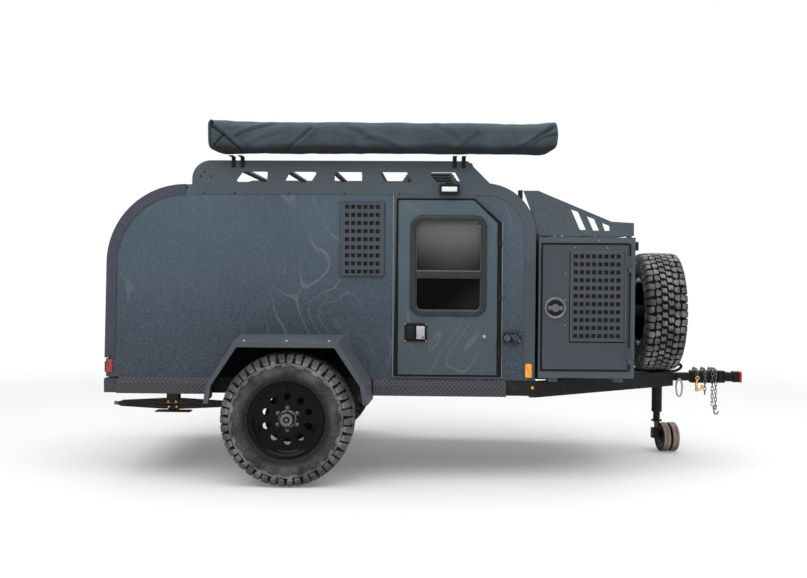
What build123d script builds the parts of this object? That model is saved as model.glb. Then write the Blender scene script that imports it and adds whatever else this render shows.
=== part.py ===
"""Off-road teardrop trailer, parked on its jack.

Lengths are in millimetres. +X points to the coupler, +Z up, and the right-hand side faces -Y.
Most places are given as a distance ahead of the axle, an outboard distance and a height.
"""

import math
import os

from build123d import *

# Overall reach, measured from the axle
rear_reach = 1220
front_reach = 3093
axle_x = (rear_reach - front_reach) / 2
overrun = 10
fit_gap = 0.05
seat_gap = 0.3

# Body shell
body_half = 790
wall_thickness = 36
skin_thickness = 30
wall_bottom = 646
roof_top = 1886
front_face = 1552
front_arc_radius = 312
tail_face = -1206
hatch_arc_x = -686
hatch_arc_z = 1373
hatch_radius = 514
hatch_foot_x = -1214
hatch_foot_z = 768
hatch_latch_half = 80
hatch_latch_height = 70
hatch_latch_drop = 20
hatch_latch_inset = 10
hatch_gap = 6
hatch_hinge_x = hatch_arc_x + hatch_gap
hatch_hinge_z = roof_top - 2
hinge_barrel_radius = 5.5
hinge_rod_radius = 2.5
hinge_leaf_length = 26
hinge_leaf = 3
# Ends of the hinge barrels as shares of the body's half width
hatch_barrels = ((-0.88, -0.62), (-0.12, 0.12), (0.62, 0.88))
roof_barrels = ((-0.6, -0.14), (0.14, 0.6))
trim_thickness = 4
trim_gap = 1.5
hatch_band_width = 66
floor_thickness = 30
bulkhead_x = -545
counter_height = 1020
counter_front_gap = 40

# Front corner trim
front_trim_width = 69
front_trim_bottom = 662
front_trim_joint = 1402

# Cabin doors
door_rear = 678
door_front = 1308
door_bottom = 678
door_top = 1790
door_chamfer_run = 150
door_chamfer_drop = 145
door_gap = 5
door_proud = 10
door_frame_width = 34
door_frame_thickness = 8
door_frame_bottom = 656
door_hinge_offset = 12
knuckle_radius = 8
knuckle_length = 74
door_strap = 12
knuckle_heights = (871, 1222, 1572)
fixed_knuckle_length = 30
fixed_strap_length = 20
window_rear = 754
window_front = 1240
window_bottom = 1053
window_top = 1695
window_corner = 75
window_border = 38
window_proud = 12
window_sleeve = 10
window_bar_bottom = 1293
window_bar_top = 1344
glass_thickness = 5
glass_depth = 14
latch_rear = 720
latch_front = 864
latch_bottom = 889
latch_top = 1006
latch_proud = 9
latch_corner = 12
paddle_width = 58
paddle_height = 84
paddle_proud = 12
grip_width = 48
grip_proud = 7
bumper_pin_x = 1228
bumper_pin_z = 924
bumper_pin_radius = 11
bumper_pin_length = 14
catch_rear = door_front + 42
catch_front = door_front + 155
catch_bottom = 884
catch_top = 951
catch_proud = 22
catch_slot = 30

# Wall vents
vent_rear = 305
vent_front = 590
vent_bottom = 1303
vent_top = 1776
vent_proud = 18
vent_rim = 6
vent_rows = 9
vent_columns = 6
vent_cell_width = 27
vent_cell_height = 26
vent_pitch_x = 39
vent_pitch_z = 51.5
vent_cell_depth = 14

# Chassis
rail_outer = body_half - 5
rail_width = 60
rail_depth = 100
rail_bottom = wall_bottom - rail_depth
frame_front = front_face + 8
cross_width = 40
rear_member = -1060
member_pitch = 505
member_count = 5
arm_width = 50
arm_top = 636
arm_bottom = 536
arm_tip_x = 2600
arm_tip_outer = 82
tube_half = 30
tube_bottom = 566
tube_top = 620
tube_end = 2740
bumper_front = -1125
bumper_bottom = 543
bumper_top = 636
sill_outer = body_half + 50
sill_knee = 612
sill_bottom = 545
sill_front = 1367

# Fenders
fender_outer = body_half + 310
fender_plate = 5
fender_top_wall = 928
fender_top_outer = 899
fender_top_half_wall = 335
fender_top_half_outer = 322
fender_knee_z = 629
fender_knee_half_wall = 514
fender_knee_half_outer = 490
fender_foot_z = 520
fender_foot_half_wall = 522
fender_foot_half_outer = 506
fender_lip_depth = 30

# Wheels
wheel_z = 415.5
tyre_radius = 415.5
tyre_half = 141
wheel_track_half = body_half + tyre_half + 8
tread_half = 118
shoulder_radius = 397
crown_half = 66
bulge_radius = 318
lug_count = 18
lug_half = 27
lug_top = 414
lug_edge_half = 112
lug_foot_radius = 356
lug_foot_half = 140
bead_half = 112
bead_radius = 222
flange_radius = 240
flange_width = 8
rim_inner_radius = 210
disc_face = 70
disc_back = 60
disc_edge_radius = 196
hub_ring_radius = 104
hub_face = 52
hub_back = 42
hub_radius = 55
hub_end = -30
spindle_radius = 20
cap_radius = 47
cap_length = 56
disc_hole_count = 10
disc_hole_radius = 21.5
disc_hole_circle = 140
nut_count = 6
nut_circle = 70
nut_radius = 12
nut_height = 16

# Axle
axle_tube_size = 80
axle_tube_x = 190
axle_tube_end = body_half - 52
trailing_arm_width = 30
trailing_arm_radius = 39
spindle_end_gap = 5

# Roof rack
rack_thickness = 4
rack_rear = -646
rack_corner_radius = 121
rack_top = 2039
rack_bottom = 1824
rack_slope_start = 1116
rack_slope_end = 1257
rack_front_x = 1225
rack_front_radius = 326
rack_inner_radius = 250
rack_arc_z = 1574
cutout_top = 1967
cutout_bottom = 1902
cutout_corner = 10
crossbar_radius = 18
crossbar_height = 2010
# Share of the rack's length, from its rear end to the end of its front slope
crossbar_shares = (0.13715, 0.29217, 0.45507, 0.61797, 0.93326)
# Rear and front ends of each opening, at its bottom and at its top, as shares of that length
cutouts = (
    {"low_rear": 0.1466, "high_rear": 0.1724, "high_front": 0.2559, "low_front": 0.2522},
    {"low_rear": 0.3132, "high_rear": 0.3305, "high_front": 0.4225, "low_front": 0.4009},
    {"low_rear": 0.4808, "high_rear": 0.4808, "high_front": 0.5723, "low_front": 0.5723},
    {"low_rear": 0.6521, "high_rear": 0.6322, "high_front": 0.7225, "low_front": 0.7409},
    {"low_rear": 0.8224, "high_rear": 0.7961, "high_front": 0.8833, "low_front": 0.9023},
)

# Roof fan
fan_rear = 646
fan_length = 456
fan_half = 215
fan_base_height = 36
fan_lid_height = 100
fan_lid_inset = 14
fan_lid_corner = 60
fan_lid_slope = 35
fan_slat_count = 4
fan_slat_thickness = 6
fan_slat_reach = 8

# Awning
awning_out = body_half + 65
awning_depth = 150
awning_end_depth = 116
awning_corner = 50
awning_rear = -532
awning_front = 1674
awning_rear_taper = 92
awning_front_taper = 84
awning_top = 2293
awning_tilt = 16
awning_low = 2062
awning_rear_lift = 42
awning_front_lift = 56
awning_rear_bracket = 154
awning_front_bracket = 585
awning_bracket_spacing = 57
awning_bracket_width = 26
awning_bracket_thickness = 5
awning_bracket_drop = 46
awning_bracket_reach = 96

# Lamps
lamp_thickness = 8
red_rear = -1204
red_front = -1160
red_bottom = 674
red_top = 758
amber_rear = 1491
amber_front = 1533
amber_bottom = 664
amber_top = 753
tail_lamp_half = 46
tail_lamp_out = body_half - 70
tail_lamp_z = 706
tail_lamp_height = 60
light_rear = 936
light_front = 1063
light_bottom = 1829
light_top = 1889
light_depth = 42
light_fin = 5
light_fin_depth = 10
light_fin_count = 7
light_lens_depth = 6
light_lens_border = 14

# Front box
box_rear = front_face + 22
box_front = 2184
box_half = body_half - 10
box_bottom = 663
box_top = 1560
box_wall = 22
box_door_rear = box_rear + 16
box_door_front = box_front - 47
box_door_bottom = 711
box_door_top = 1520
box_door_gap = 4
box_door_thickness = 26
box_door_proud = 8
box_hinge_offset = 10
box_knuckle_heights = (821, 1406)
grille_rear = box_door_rear + 184
grille_front = box_door_front - 30
grille_bottom = 900
grille_top = 1473
grille_rows = 11
grille_columns = 8
grille_pitch_x = 38.5
grille_pitch_z = 50.6
grille_cell_width = 27
grille_cell_height = 26
grille_depth = 5
grille_cell_depth = 12
box_latch_x = box_door_rear + 89
box_latch_z = 1110
box_latch_radius = 68
box_latch_proud = 10
box_latch_dish = 52
box_latch_dish_depth = 6
box_handle_half = 44
box_handle_width = 11
box_handle_proud = 13
box_shelf = 17
box_shelf_width = 60
box_shelf_inset = 66

# Box rack
box_rack_half = box_half - 4
box_rack_rear = box_rear - 104
box_rack_length = 704
box_rack_bottom = box_top + 10
box_rack_height = 285
# Shares of the side plate's length and height
box_rack_points = ((0.152, 0.0), (1.0, 0.0), (0.9986, 0.2912), (0.7969, 0.3193), (0.1349, 1.0), (0.0, 1.0))
box_rack_slots = (
    ((0.4318, 0.586), (0.5142, 0.1263), (0.5653, 0.1368), (0.4943, 0.5298)),
    ((0.5753, 0.4351), (0.6335, 0.1158), (0.6847, 0.1228), (0.6378, 0.3754)),
    ((0.7131, 0.2877), (0.7358, 0.1158), (0.7798, 0.1158), (0.7756, 0.2246)),
)
box_bar_front_inset = 54
box_bar_size = 30
box_bar_rise = 12

# Spare wheel and carrier
spare_x = 2485
spare_z = 1056
carrier_rear = 2236
carrier_size = 60
carrier_plate_radius = 92
carrier_hub_radius = 45
spare_centre_hole = 54
carrier_nut_radius = 22
carrier_nut_height = 14

# Jack
jack_gap = 195
jack_base_x = 2471
jack_outer_radius = 38
jack_outer_bottom = 292
jack_outer_top = 655
jack_inner_radius = 25
jack_collar_radius = 44
jack_collar_height = 34
jack_plate_width = 110
jack_plate_thickness = 8
jack_post_radius = 30
jack_post_z = 590
jack_leg_bottom = 232
jack_leg_top = 640
caster_turn = -46
caster_trail = 25
jack_wheel_radius = 106
jack_wheel_width = 54
jack_wheel_gap = 14
jack_hub_gap = 5
caster_web = 14
caster_block_length = 40
caster_block_low = -6
caster_block_high = 70
caster_plate_radius = 40
caster_plate = 10
caster_axle_radius = 8
jack_wheel_chamfer = 8

# Stabiliser legs
leg_x = -777
leg_out = rail_outer - 40
leg_pivot_spacing = 50
leg_pivot_z = 487
leg_knee_z = 469
leg_length = 330
leg_web_edge = 16
leg_open_edge = 10
leg_plate = 3
leg_upper_half = 30
leg_lower_half = 24
leg_foot_half = 18
leg_play = 3
leg_ear = 4
leg_pin_radius = 5
leg_open_play = 0.5
leg_ear_width = 24
leg_foot_ear_width = 14
leg_bracket_plate = 5
leg_foot_length = 226
leg_foot_bottom = 418
leg_foot_plate = 6
leg_foot_width = 80
leg_screw_radius = 7
leg_block = 10
leg_nut_radius = 12
leg_nut_length = 16
leg_screw_over = 12

# Safety chains
chain_wire = 6
chain_hole_length = 26
chain_hole_width = 9
chain_gap = 15
chain_eye = 11
hook_length = 56
hook_width = 34
hook_bar = 9
hook_lip = 24
# Distance behind the housing's front, number of links, and whether a hook ends the strand
chain_strands = ((143, 1, True), (86, 2, False), (34, 5, False), (10, 6, True))

# Coupler
housing_length = 175
housing_half = 44
housing_bottom = 552
housing_top = 636
fork_plate = 12
fork_length = 64
cheek_length = 54
coupler_pin_radius = 12
block_half = 26
bar_half = 26.5
bar_bottom = 568
collar_start = 3036
collar_half = 37
collar_corner = 8

os.makedirs("parts", exist_ok=True)


def save(piece, name):
    """Writes one finished piece under its own name."""
    piece.part.label = name
    export_step(piece.part, f"parts/{name}.step")


def save_pair(piece, name):
    """Writes a right-hand piece and its mirror image as two pieces."""
    save(piece, f"{name}_right")
    with BuildPart() as other:
        mirror(piece.part, about=Plane.XZ)
    save(other, f"{name}_left")


def save_both(piece, name):
    """Writes a right-hand piece together with its mirror image."""
    with BuildPart() as both:
        add(piece.part)
        mirror(piece.part, about=Plane.XZ)
    save(both, name)


def side_plane(out):
    """Faces the right: local x is the distance ahead of the axle, local y the height."""
    return Plane(origin=(axle_x, -out, 0), x_dir=(1, 0, 0), z_dir=(0, -1, 0))


def plan_plane(height):
    """Faces up: local x is the distance ahead of the axle, local y is Y."""
    return Plane(origin=(axle_x, 0, height))


def cross_plane(ahead):
    """Faces ahead: local x is Y, local y the height."""
    return Plane(origin=(axle_x + ahead, 0, 0), x_dir=(0, 1, 0), z_dir=(1, 0, 0))


def polygon(plane, points, corner=0):
    """A straight-sided outline, with all its corners rounded if a radius is given."""
    with BuildSketch(plane) as outline:
        with BuildLine():
            Polyline(*points, close=True)
        make_face()
        if corner:
            fillet(outline.vertices(), corner)
    return outline.sketch


def rectangle(plane, low, high, corner=0):
    """An upright rectangle between two corners."""
    points = ((low[0], low[1]), (high[0], low[1]), (high[0], high[1]), (low[0], high[1]))
    return polygon(plane, points, corner)


def disc(plane, centre, radius):
    """A round outline."""
    with BuildSketch(plane) as outline:
        with Locations(centre):
            Circle(radius)
    return outline.sketch


def block(ahead, across, height, mode=Mode.ADD):
    """A box given by its two ends ahead of the axle, in Y and in height."""
    base = rectangle(plan_plane(height[0]), (ahead[0], across[0]), (ahead[1], across[1]))
    extrude(base, amount=height[1] - height[0], mode=mode)


def fixed_knuckles(hinge_x, hinge_out, seat_out, heights, side=1):
    """The wall's half of each hinge, right under the door's half; side is -1 on the left."""
    for height in heights:
        high = height - knuckle_length / 2 - seat_gap
        low = high - fixed_knuckle_length
        extrude(disc(plan_plane(low), (hinge_x, -side * hinge_out), knuckle_radius), amount=high - low)
        strap = sorted((-side * hinge_out, -side * seat_out))
        block((hinge_x, hinge_x + fixed_strap_length), strap, (low, high))


def make_chassis():
    """Side rails, cross members, drawbar arms and the middle tube."""
    rail_inner = rail_outer - rail_width
    with BuildPart() as rail:
        block(
            (bumper_front, frame_front - cross_width),
            (-rail_outer, -rail_inner),
            (rail_bottom, wall_bottom),
        )
    save_both(rail, "side_rails")

    with BuildPart() as members:
        for member in range(member_count):
            station = rear_member + member * member_pitch
            block(
                (station, station + cross_width),
                (-rail_inner, rail_inner),
                (rail_bottom + cross_width, wall_bottom),
            )
        block((frame_front - cross_width, frame_front), (-rail_outer, rail_outer), (arm_bottom, wall_bottom))
    save(members, "cross_members")

    arm_run = arm_tip_x - frame_front
    skew = arm_width * math.hypot(arm_run, rail_outer - arm_tip_outer) / arm_run
    arm_points = (
        (frame_front, -rail_outer),
        (arm_tip_x, -arm_tip_outer),
        (arm_tip_x, -tube_half),
        (arm_tip_x - cross_width, -tube_half),
        (frame_front, skew - rail_outer),
    )
    with BuildPart() as arm:
        extrude(polygon(plan_plane(arm_bottom), arm_points), amount=arm_top - arm_bottom)
    save_both(arm, "drawbar_arms")


def make_drawbar():
    """Middle tube and the coupler's fixed housing with its fork."""
    housing_front = tube_end + housing_length
    fork_front = housing_front + fork_length
    pin_x = housing_front + fork_length / 2
    with BuildPart() as drawbar:
        block((frame_front, tube_end), (-tube_half, tube_half), (tube_bottom, tube_top))
        block((tube_end, housing_front), (-housing_half, housing_half), (housing_bottom, housing_top))
        chamfer(drawbar.edges().filter_by(Axis.X).group_by(SortBy.LENGTH)[0], collar_corner)
        fork_heights = (
            (housing_bottom, housing_bottom + fork_plate), (housing_top - fork_plate, housing_top)
        )
        for low, high in fork_heights:
            block((housing_front, fork_front), (-block_half, block_half), (low, high))
        extrude(
            disc(plan_plane(housing_bottom), (pin_x, 0), coupler_pin_radius),
            amount=housing_top - housing_bottom,
        )
    save(drawbar, "drawbar_tube")


def chain_link(x, z, turned):
    """One link hanging on the right of the drawbar, seen broadside or end on."""
    place = Vector(axle_x + x, -housing_half - chain_gap - chain_wire / 2, z)
    x_dir = (0, 1, 0) if turned else (1, 0, 0)
    plane = Plane(origin=place, x_dir=x_dir, z_dir=Vector(*x_dir).cross(Vector(0, 0, 1)))
    with BuildPart() as link:
        for reach, mode in ((chain_wire, Mode.ADD), (0, Mode.SUBTRACT)):
            half_width = chain_hole_width / 2 + reach
            half_length = chain_hole_length / 2 + reach
            shoulder = half_length - half_width
            points = (
                (-half_width, -shoulder),
                (0, -half_length),
                (half_width, -shoulder),
                (half_width, shoulder),
                (0, half_length),
                (-half_width, shoulder),
            )
            extrude(polygon(plane, points), amount=chain_wire / 2, both=True, mode=mode)
    return link.part


def hook_outline(plane, x, top):
    """A grab hook, open to the front."""
    left = x - hook_bar / 2
    right = left + hook_width
    low = top - hook_length
    bevel = hook_bar / 2
    points = (
        (left, top),
        (left + hook_bar, top),
        (left + hook_bar, low + hook_bar),
        (right - hook_bar, low + hook_bar),
        (right - hook_bar, low + hook_lip),
        (right, low + hook_lip),
        (right, low + bevel),
        (right - bevel, low),
        (left + bevel, low),
        (left, low + bevel),
    )
    return polygon(plane, points)


def make_chains():
    """Straps over the coupler housing with an eye each, strands of links and grab hooks."""
    inside = housing_half + chain_gap
    outside = inside + chain_wire
    strap_low = housing_top + seat_gap
    strap_top = strap_low + chain_wire
    first = housing_bottom - chain_wire - chain_hole_length / 2
    pitch = chain_hole_length - seat_gap
    with BuildPart() as chains:
        for inset, count, hooked in chain_strands:
            x = tube_end + housing_length - inset
            ends = (x - chain_wire, x + chain_wire)
            block(ends, (-outside, housing_half), (strap_low, strap_top))
            block(ends, (-outside, -inside), (housing_bottom, strap_low))
            extrude(disc(side_plane(inside), (x, housing_bottom), chain_eye), amount=chain_wire)
            hole = disc(side_plane(inside), (x, housing_bottom), chain_wire)
            extrude(hole, amount=chain_wire, mode=Mode.SUBTRACT)
            add([chain_link(x, first - link * pitch, link % 2 == 0) for link in range(count)])
            if hooked:
                hook_top = first - (count - 1) * pitch - chain_hole_length / 2
                extrude(hook_outline(side_plane(inside), x, hook_top), amount=chain_wire)
    save(chains, "safety_chains")


def make_coupler():
    """The swivelling block on the upright pin and the tow bar on the cross pin."""
    housing_front = tube_end + housing_length
    pin_x = housing_front + fork_length / 2
    block_low = housing_bottom + fork_plate + seat_gap
    block_high = housing_top - fork_plate - seat_gap
    cheek_end = pin_x + block_half + cheek_length
    cross_pin_x = cheek_end - coupler_pin_radius - leg_plate
    cross_pin_z = bar_bottom + bar_half
    cheek_half = bar_half + seat_gap + fork_plate
    with BuildPart() as swivel:
        block((pin_x, pin_x + block_half), (-block_half, block_half), (block_low, block_high))
        extrude(disc(plan_plane(block_low), (pin_x, 0), block_half), amount=block_high - block_low)
        block(
            (pin_x + block_half, pin_x + block_half + fork_plate),
            (-cheek_half, cheek_half),
            (block_low, block_high),
        )
        for side in (-1, 1):
            cheek = sorted((side * cheek_half, side * (cheek_half - fork_plate)))
            block((pin_x + block_half, cheek_end), cheek, (block_low, block_high))
        extrude(
            disc(side_plane(-cheek_half), (cross_pin_x, cross_pin_z), coupler_pin_radius),
            amount=2 * cheek_half,
        )
        hole = disc(plan_plane(block_low), (pin_x, 0), coupler_pin_radius + fit_gap)
        extrude(hole, amount=block_high - block_low, mode=Mode.SUBTRACT)
    save(swivel, "coupler_swivel")

    bar_rear = cross_pin_x - bar_half + fork_plate
    with BuildPart() as bar:
        block((bar_rear, collar_start), (-bar_half, bar_half), (bar_bottom, bar_bottom + 2 * bar_half))
        fillet(bar.edges().filter_by(Axis.Y).sort_by(Axis.X)[:2], fork_plate)
        collar = rectangle(
            cross_plane(collar_start),
            (-collar_half, cross_pin_z - collar_half),
            (collar_half, cross_pin_z + collar_half),
            collar_corner,
        )
        extrude(collar, amount=front_reach - collar_start)
        hole = disc(side_plane(-collar_half), (cross_pin_x, cross_pin_z), coupler_pin_radius + fit_gap)
        extrude(hole, amount=2 * collar_half, mode=Mode.SUBTRACT)
    save(bar, "tow_bar")


def make_bumper_and_sills():
    """Rear bumper beam and the four sill guards."""
    with BuildPart() as bumper:
        block((-rear_reach, bumper_front), (-body_half, body_half), (bumper_bottom, bumper_top))
        fillet(bumper.edges().filter_by(Axis.Y), collar_corner)
    save(bumper, "rear_bumper")

    profile = (
        (-body_half, wall_bottom),
        (-sill_outer, sill_knee),
        (-sill_outer, sill_bottom),
        (-rail_outer, sill_bottom),
        (-rail_outer, wall_bottom),
    )
    runs = ((bumper_front, -fender_foot_half_wall - fit_gap), (fender_foot_half_wall + fit_gap, sill_front))
    with BuildPart() as sills:
        for start, end in runs:
            extrude(polygon(cross_plane(start), profile), amount=end - start)
    save_both(sills, "sill_guards")


def fender_band(out, top_z, top_half, knee_half, foot_half, depth):
    """The arch's section: a flat top and two bent legs, of even plate."""
    outer = ((-foot_half, fender_foot_z), (-knee_half, fender_knee_z), (-top_half, top_z))
    lean = depth * math.tan(math.atan2(knee_half - top_half, top_z - fender_knee_z) / 2)
    inner = (
        (top_half - depth + lean, top_z - depth),
        (knee_half - depth, fender_knee_z),
        (foot_half - depth, fender_foot_z),
    )
    points = list(outer) + [(-x, z) for x, z in reversed(outer)]
    points += [(x, z) for x, z in reversed(inner)] + [(-x, z) for x, z in inner]
    return polygon(side_plane(out), points)


def make_fenders():
    """Flat-topped fenders that fall towards the outside, with a turned-down lip."""
    with BuildPart() as fender:
        wall_shape = (fender_top_wall, fender_top_half_wall, fender_knee_half_wall, fender_foot_half_wall)
        outer_shape = (
            fender_top_outer, fender_top_half_outer, fender_knee_half_outer, fender_foot_half_outer
        )
        near = fender_band(body_half, *wall_shape, fender_plate)
        far = fender_band(fender_outer - fender_plate, *outer_shape, fender_plate)
        loft([near, far], ruled=True)
        extrude(fender_band(fender_outer - fender_plate, *outer_shape, fender_lip_depth), amount=fender_plate)
    save_both(fender, "fenders")


def make_axle():
    """Square axle tube under the rails, trailing arms and spindles."""
    tube_low = rail_bottom - axle_tube_size
    tube_mid = rail_bottom - axle_tube_size / 2
    arm_out = axle_tube_end + trailing_arm_width
    spindle_out = wheel_track_half + hub_face - spindle_end_gap
    with BuildPart() as axle:
        half = axle_tube_size / 2
        block(
            (axle_tube_x - half, axle_tube_x + half),
            (-axle_tube_end, axle_tube_end),
            (tube_low, rail_bottom),
        )
        for side in (-1, 1):
            with BuildSketch(side_plane(side * axle_tube_end)):
                with BuildLine():
                    swing = math.degrees(math.atan2(tube_mid - wheel_z, axle_tube_x))
                    lower = CenterArc((0, wheel_z), trailing_arm_radius, swing + 90, 180)
                    upper = CenterArc((axle_tube_x, tube_mid), trailing_arm_radius, swing - 90, 180)
                    Line(lower @ 1, upper @ 0)
                    Line(upper @ 1, lower @ 0)
                make_face()
            extrude(amount=side * trailing_arm_width)
            spindle = disc(side_plane(side * arm_out), (0, wheel_z), spindle_radius)
            extrude(spindle, amount=side * (spindle_out - arm_out))
    save(axle, "axle")


def wheel_plane(origin, outward):
    """Local x runs along the wheel's axis, local y is the radius."""
    return Plane(origin=origin, x_dir=outward, z_dir=Vector(*outward).cross(Vector(0, 0, 1)))


def face_plane(origin, outward, offset):
    """Faces out along the wheel's axis."""
    return Plane(origin=origin, x_dir=(0, 0, 1), z_dir=outward).offset(offset)


def tyre_lugs(origin, outward, side, phase):
    """Blocks that wrap one shoulder of the tyre; phase is a share of their pitch."""
    section = (
        (side * crown_half, lug_top),
        (side * lug_edge_half, lug_top),
        (side * lug_foot_half, lug_foot_radius),
        (side * bead_half, lug_foot_radius),
    )
    with BuildPart() as lug:
        extrude(polygon(wheel_plane(origin, outward), section), amount=lug_half, both=True)
    pitch = 360 / lug_count
    return [lug.part.rotate(Axis(origin, outward), (step + phase) * pitch) for step in range(lug_count)]


def make_tyre(origin, outward):
    """Tyre ring with bulged walls, a flat crown, sloping shoulders and staggered lugs on them."""
    with BuildPart() as tyre:
        with BuildSketch(wheel_plane(origin, outward)):
            with BuildLine():
                Polyline(
                    (-bead_half, bead_radius),
                    (bead_half, bead_radius),
                    (bead_half, flange_radius),
                    (tyre_half, bulge_radius),
                    (tread_half, shoulder_radius),
                    (crown_half, tyre_radius),
                    (-crown_half, tyre_radius),
                    (-tread_half, shoulder_radius),
                    (-tyre_half, bulge_radius),
                    (-bead_half, flange_radius),
                    close=True,
                )
            make_face()
        revolve(axis=Axis(origin, outward))
        add(tyre_lugs(origin, outward, 1, 0) + tyre_lugs(origin, outward, -1, 1 / 2))
    return tyre


def rim_outline(plane):
    """Half section of the steel wheel: two flanges, barrel, dished disc and hub seat."""
    flange_out = bead_half + flange_width
    points = (
        (-flange_out, flange_radius),
        (-bead_half, flange_radius),
        (-bead_half, bead_radius),
        (bead_half, bead_radius),
        (bead_half, flange_radius),
        (flange_out, flange_radius),
        (flange_out, bead_radius),
        (bead_half, rim_inner_radius),
        (disc_face + flange_width, rim_inner_radius),
        (disc_face, disc_edge_radius),
        (hub_face, hub_ring_radius),
        (hub_face, spare_centre_hole),
        (hub_back, spare_centre_hole),
        (hub_back, hub_ring_radius),
        (disc_back, disc_edge_radius),
        (disc_back, rim_inner_radius),
        (-bead_half, rim_inner_radius),
        (-flange_out, bead_radius),
    )
    return polygon(plane, points)


def make_rim(origin, outward, has_hub):
    """Steel wheel with its ring of round holes; a road wheel also has a hub, cap and nuts."""
    axis = Axis(origin, outward)
    with BuildPart() as rim:
        revolve(rim_outline(wheel_plane(origin, outward)), axis=axis)
        with BuildSketch(face_plane(origin, outward, hub_back)) as holes:
            with PolarLocations(disc_hole_circle, disc_hole_count):
                Circle(disc_hole_radius)
        extrude(holes.sketch, amount=disc_face, mode=Mode.SUBTRACT)
        if has_hub:
            barrel = disc(face_plane(origin, outward, hub_end), (0, 0), hub_radius)
            extrude(barrel, amount=hub_face - hub_end)
            cap = disc(face_plane(origin, outward, hub_face), (0, 0), cap_radius)
            extrude(cap, amount=cap_length, taper=leg_play)
            bore = disc(face_plane(origin, outward, hub_end), (0, 0), spindle_radius + fit_gap)
            extrude(bore, amount=hub_face - hub_end, mode=Mode.SUBTRACT)
            with BuildSketch(face_plane(origin, outward, hub_face)) as nuts:
                with PolarLocations(nut_circle, nut_count):
                    RegularPolygon(nut_radius, 6)
            extrude(nuts.sketch, amount=nut_height)
    return rim


def make_wheels():
    """Road wheels and the spare."""
    origin = (axle_x, -wheel_track_half, wheel_z)
    save_pair(make_tyre(origin, (0, -1, 0)), "tyre")
    save_pair(make_rim(origin, (0, -1, 0), True), "rim")
    spare_origin = (axle_x + spare_x, 0, spare_z)
    save(make_tyre(spare_origin, (1, 0, 0)), "spare_tyre")
    save(make_rim(spare_origin, (1, 0, 0), False), "spare_rim")


def make_spare_carrier():
    """Post on the drawbar, arm, flange against the spare's disc, and its clamping nut."""
    flange_x = spare_x + hub_back
    carrier_front = carrier_rear + carrier_size
    half = carrier_size / 2
    with BuildPart() as carrier:
        block((carrier_rear, carrier_front), (-half, half), (tube_top, spare_z + half))
        post_face = cross_plane(carrier_front)
        extrude(disc(post_face, (0, spare_z), carrier_hub_radius), amount=flange_x - carrier_front)
        flange = disc(cross_plane(flange_x - fork_plate), (0, spare_z), carrier_plate_radius)
        extrude(flange, amount=fork_plate)
        stub = disc(cross_plane(flange_x), (0, spare_z), carrier_nut_radius)
        extrude(stub, amount=hub_face - hub_back + carrier_nut_height)
    save(carrier, "spare_carrier")


def wall_outline(plane):
    """Side wall: everything inside the skins, with the hatch's curve at the rear."""
    tail_in = tail_face + skin_thickness
    front_in = front_face - skin_thickness
    roof_in = roof_top - skin_thickness
    arc_x = front_face - front_arc_radius
    arc_z = roof_top - front_arc_radius
    hatch_in = hatch_radius - skin_thickness - hatch_gap
    foot_x = hatch_foot_x + skin_thickness + hatch_gap
    with BuildSketch(plane) as outline:
        with BuildLine():
            Polyline((tail_in, wall_bottom), (front_in, wall_bottom), (front_in, arc_z))
            CenterArc((arc_x, arc_z), front_arc_radius - skin_thickness, 0, 90)
            Polyline((arc_x, roof_in), (hatch_arc_x, roof_in), (hatch_arc_x, hatch_arc_z + hatch_in))
            CenterArc((hatch_arc_x, hatch_arc_z), hatch_in, 90, 90)
            Polyline(
                (hatch_arc_x - hatch_in, hatch_arc_z),
                (foot_x, hatch_foot_z - hatch_gap),
                (tail_in, hatch_foot_z - hatch_gap),
                (tail_in, wall_bottom),
            )
        make_face()
    return outline.sketch


def door_outline(plane, grow):
    """Door leaf outline with its cut top corner, grown by a margin."""
    with BuildSketch(plane) as outline:
        with BuildLine():
            Polyline(
                (door_rear, door_bottom),
                (door_front, door_bottom),
                (door_front, door_top - door_chamfer_drop),
                (door_front - door_chamfer_run, door_top),
                (door_rear, door_top),
                close=True,
            )
        make_face()
        if grow:
            offset(amount=grow, kind=Kind.INTERSECTION)
    return outline.sketch


def window_outline(plane, shrink):
    """Window outline with round corners, shrunk by a border."""
    low = (window_rear + shrink, window_bottom + shrink)
    high = (window_front - shrink, window_top - shrink)
    return rectangle(plane, low, high, window_corner - shrink / 2)


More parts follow.
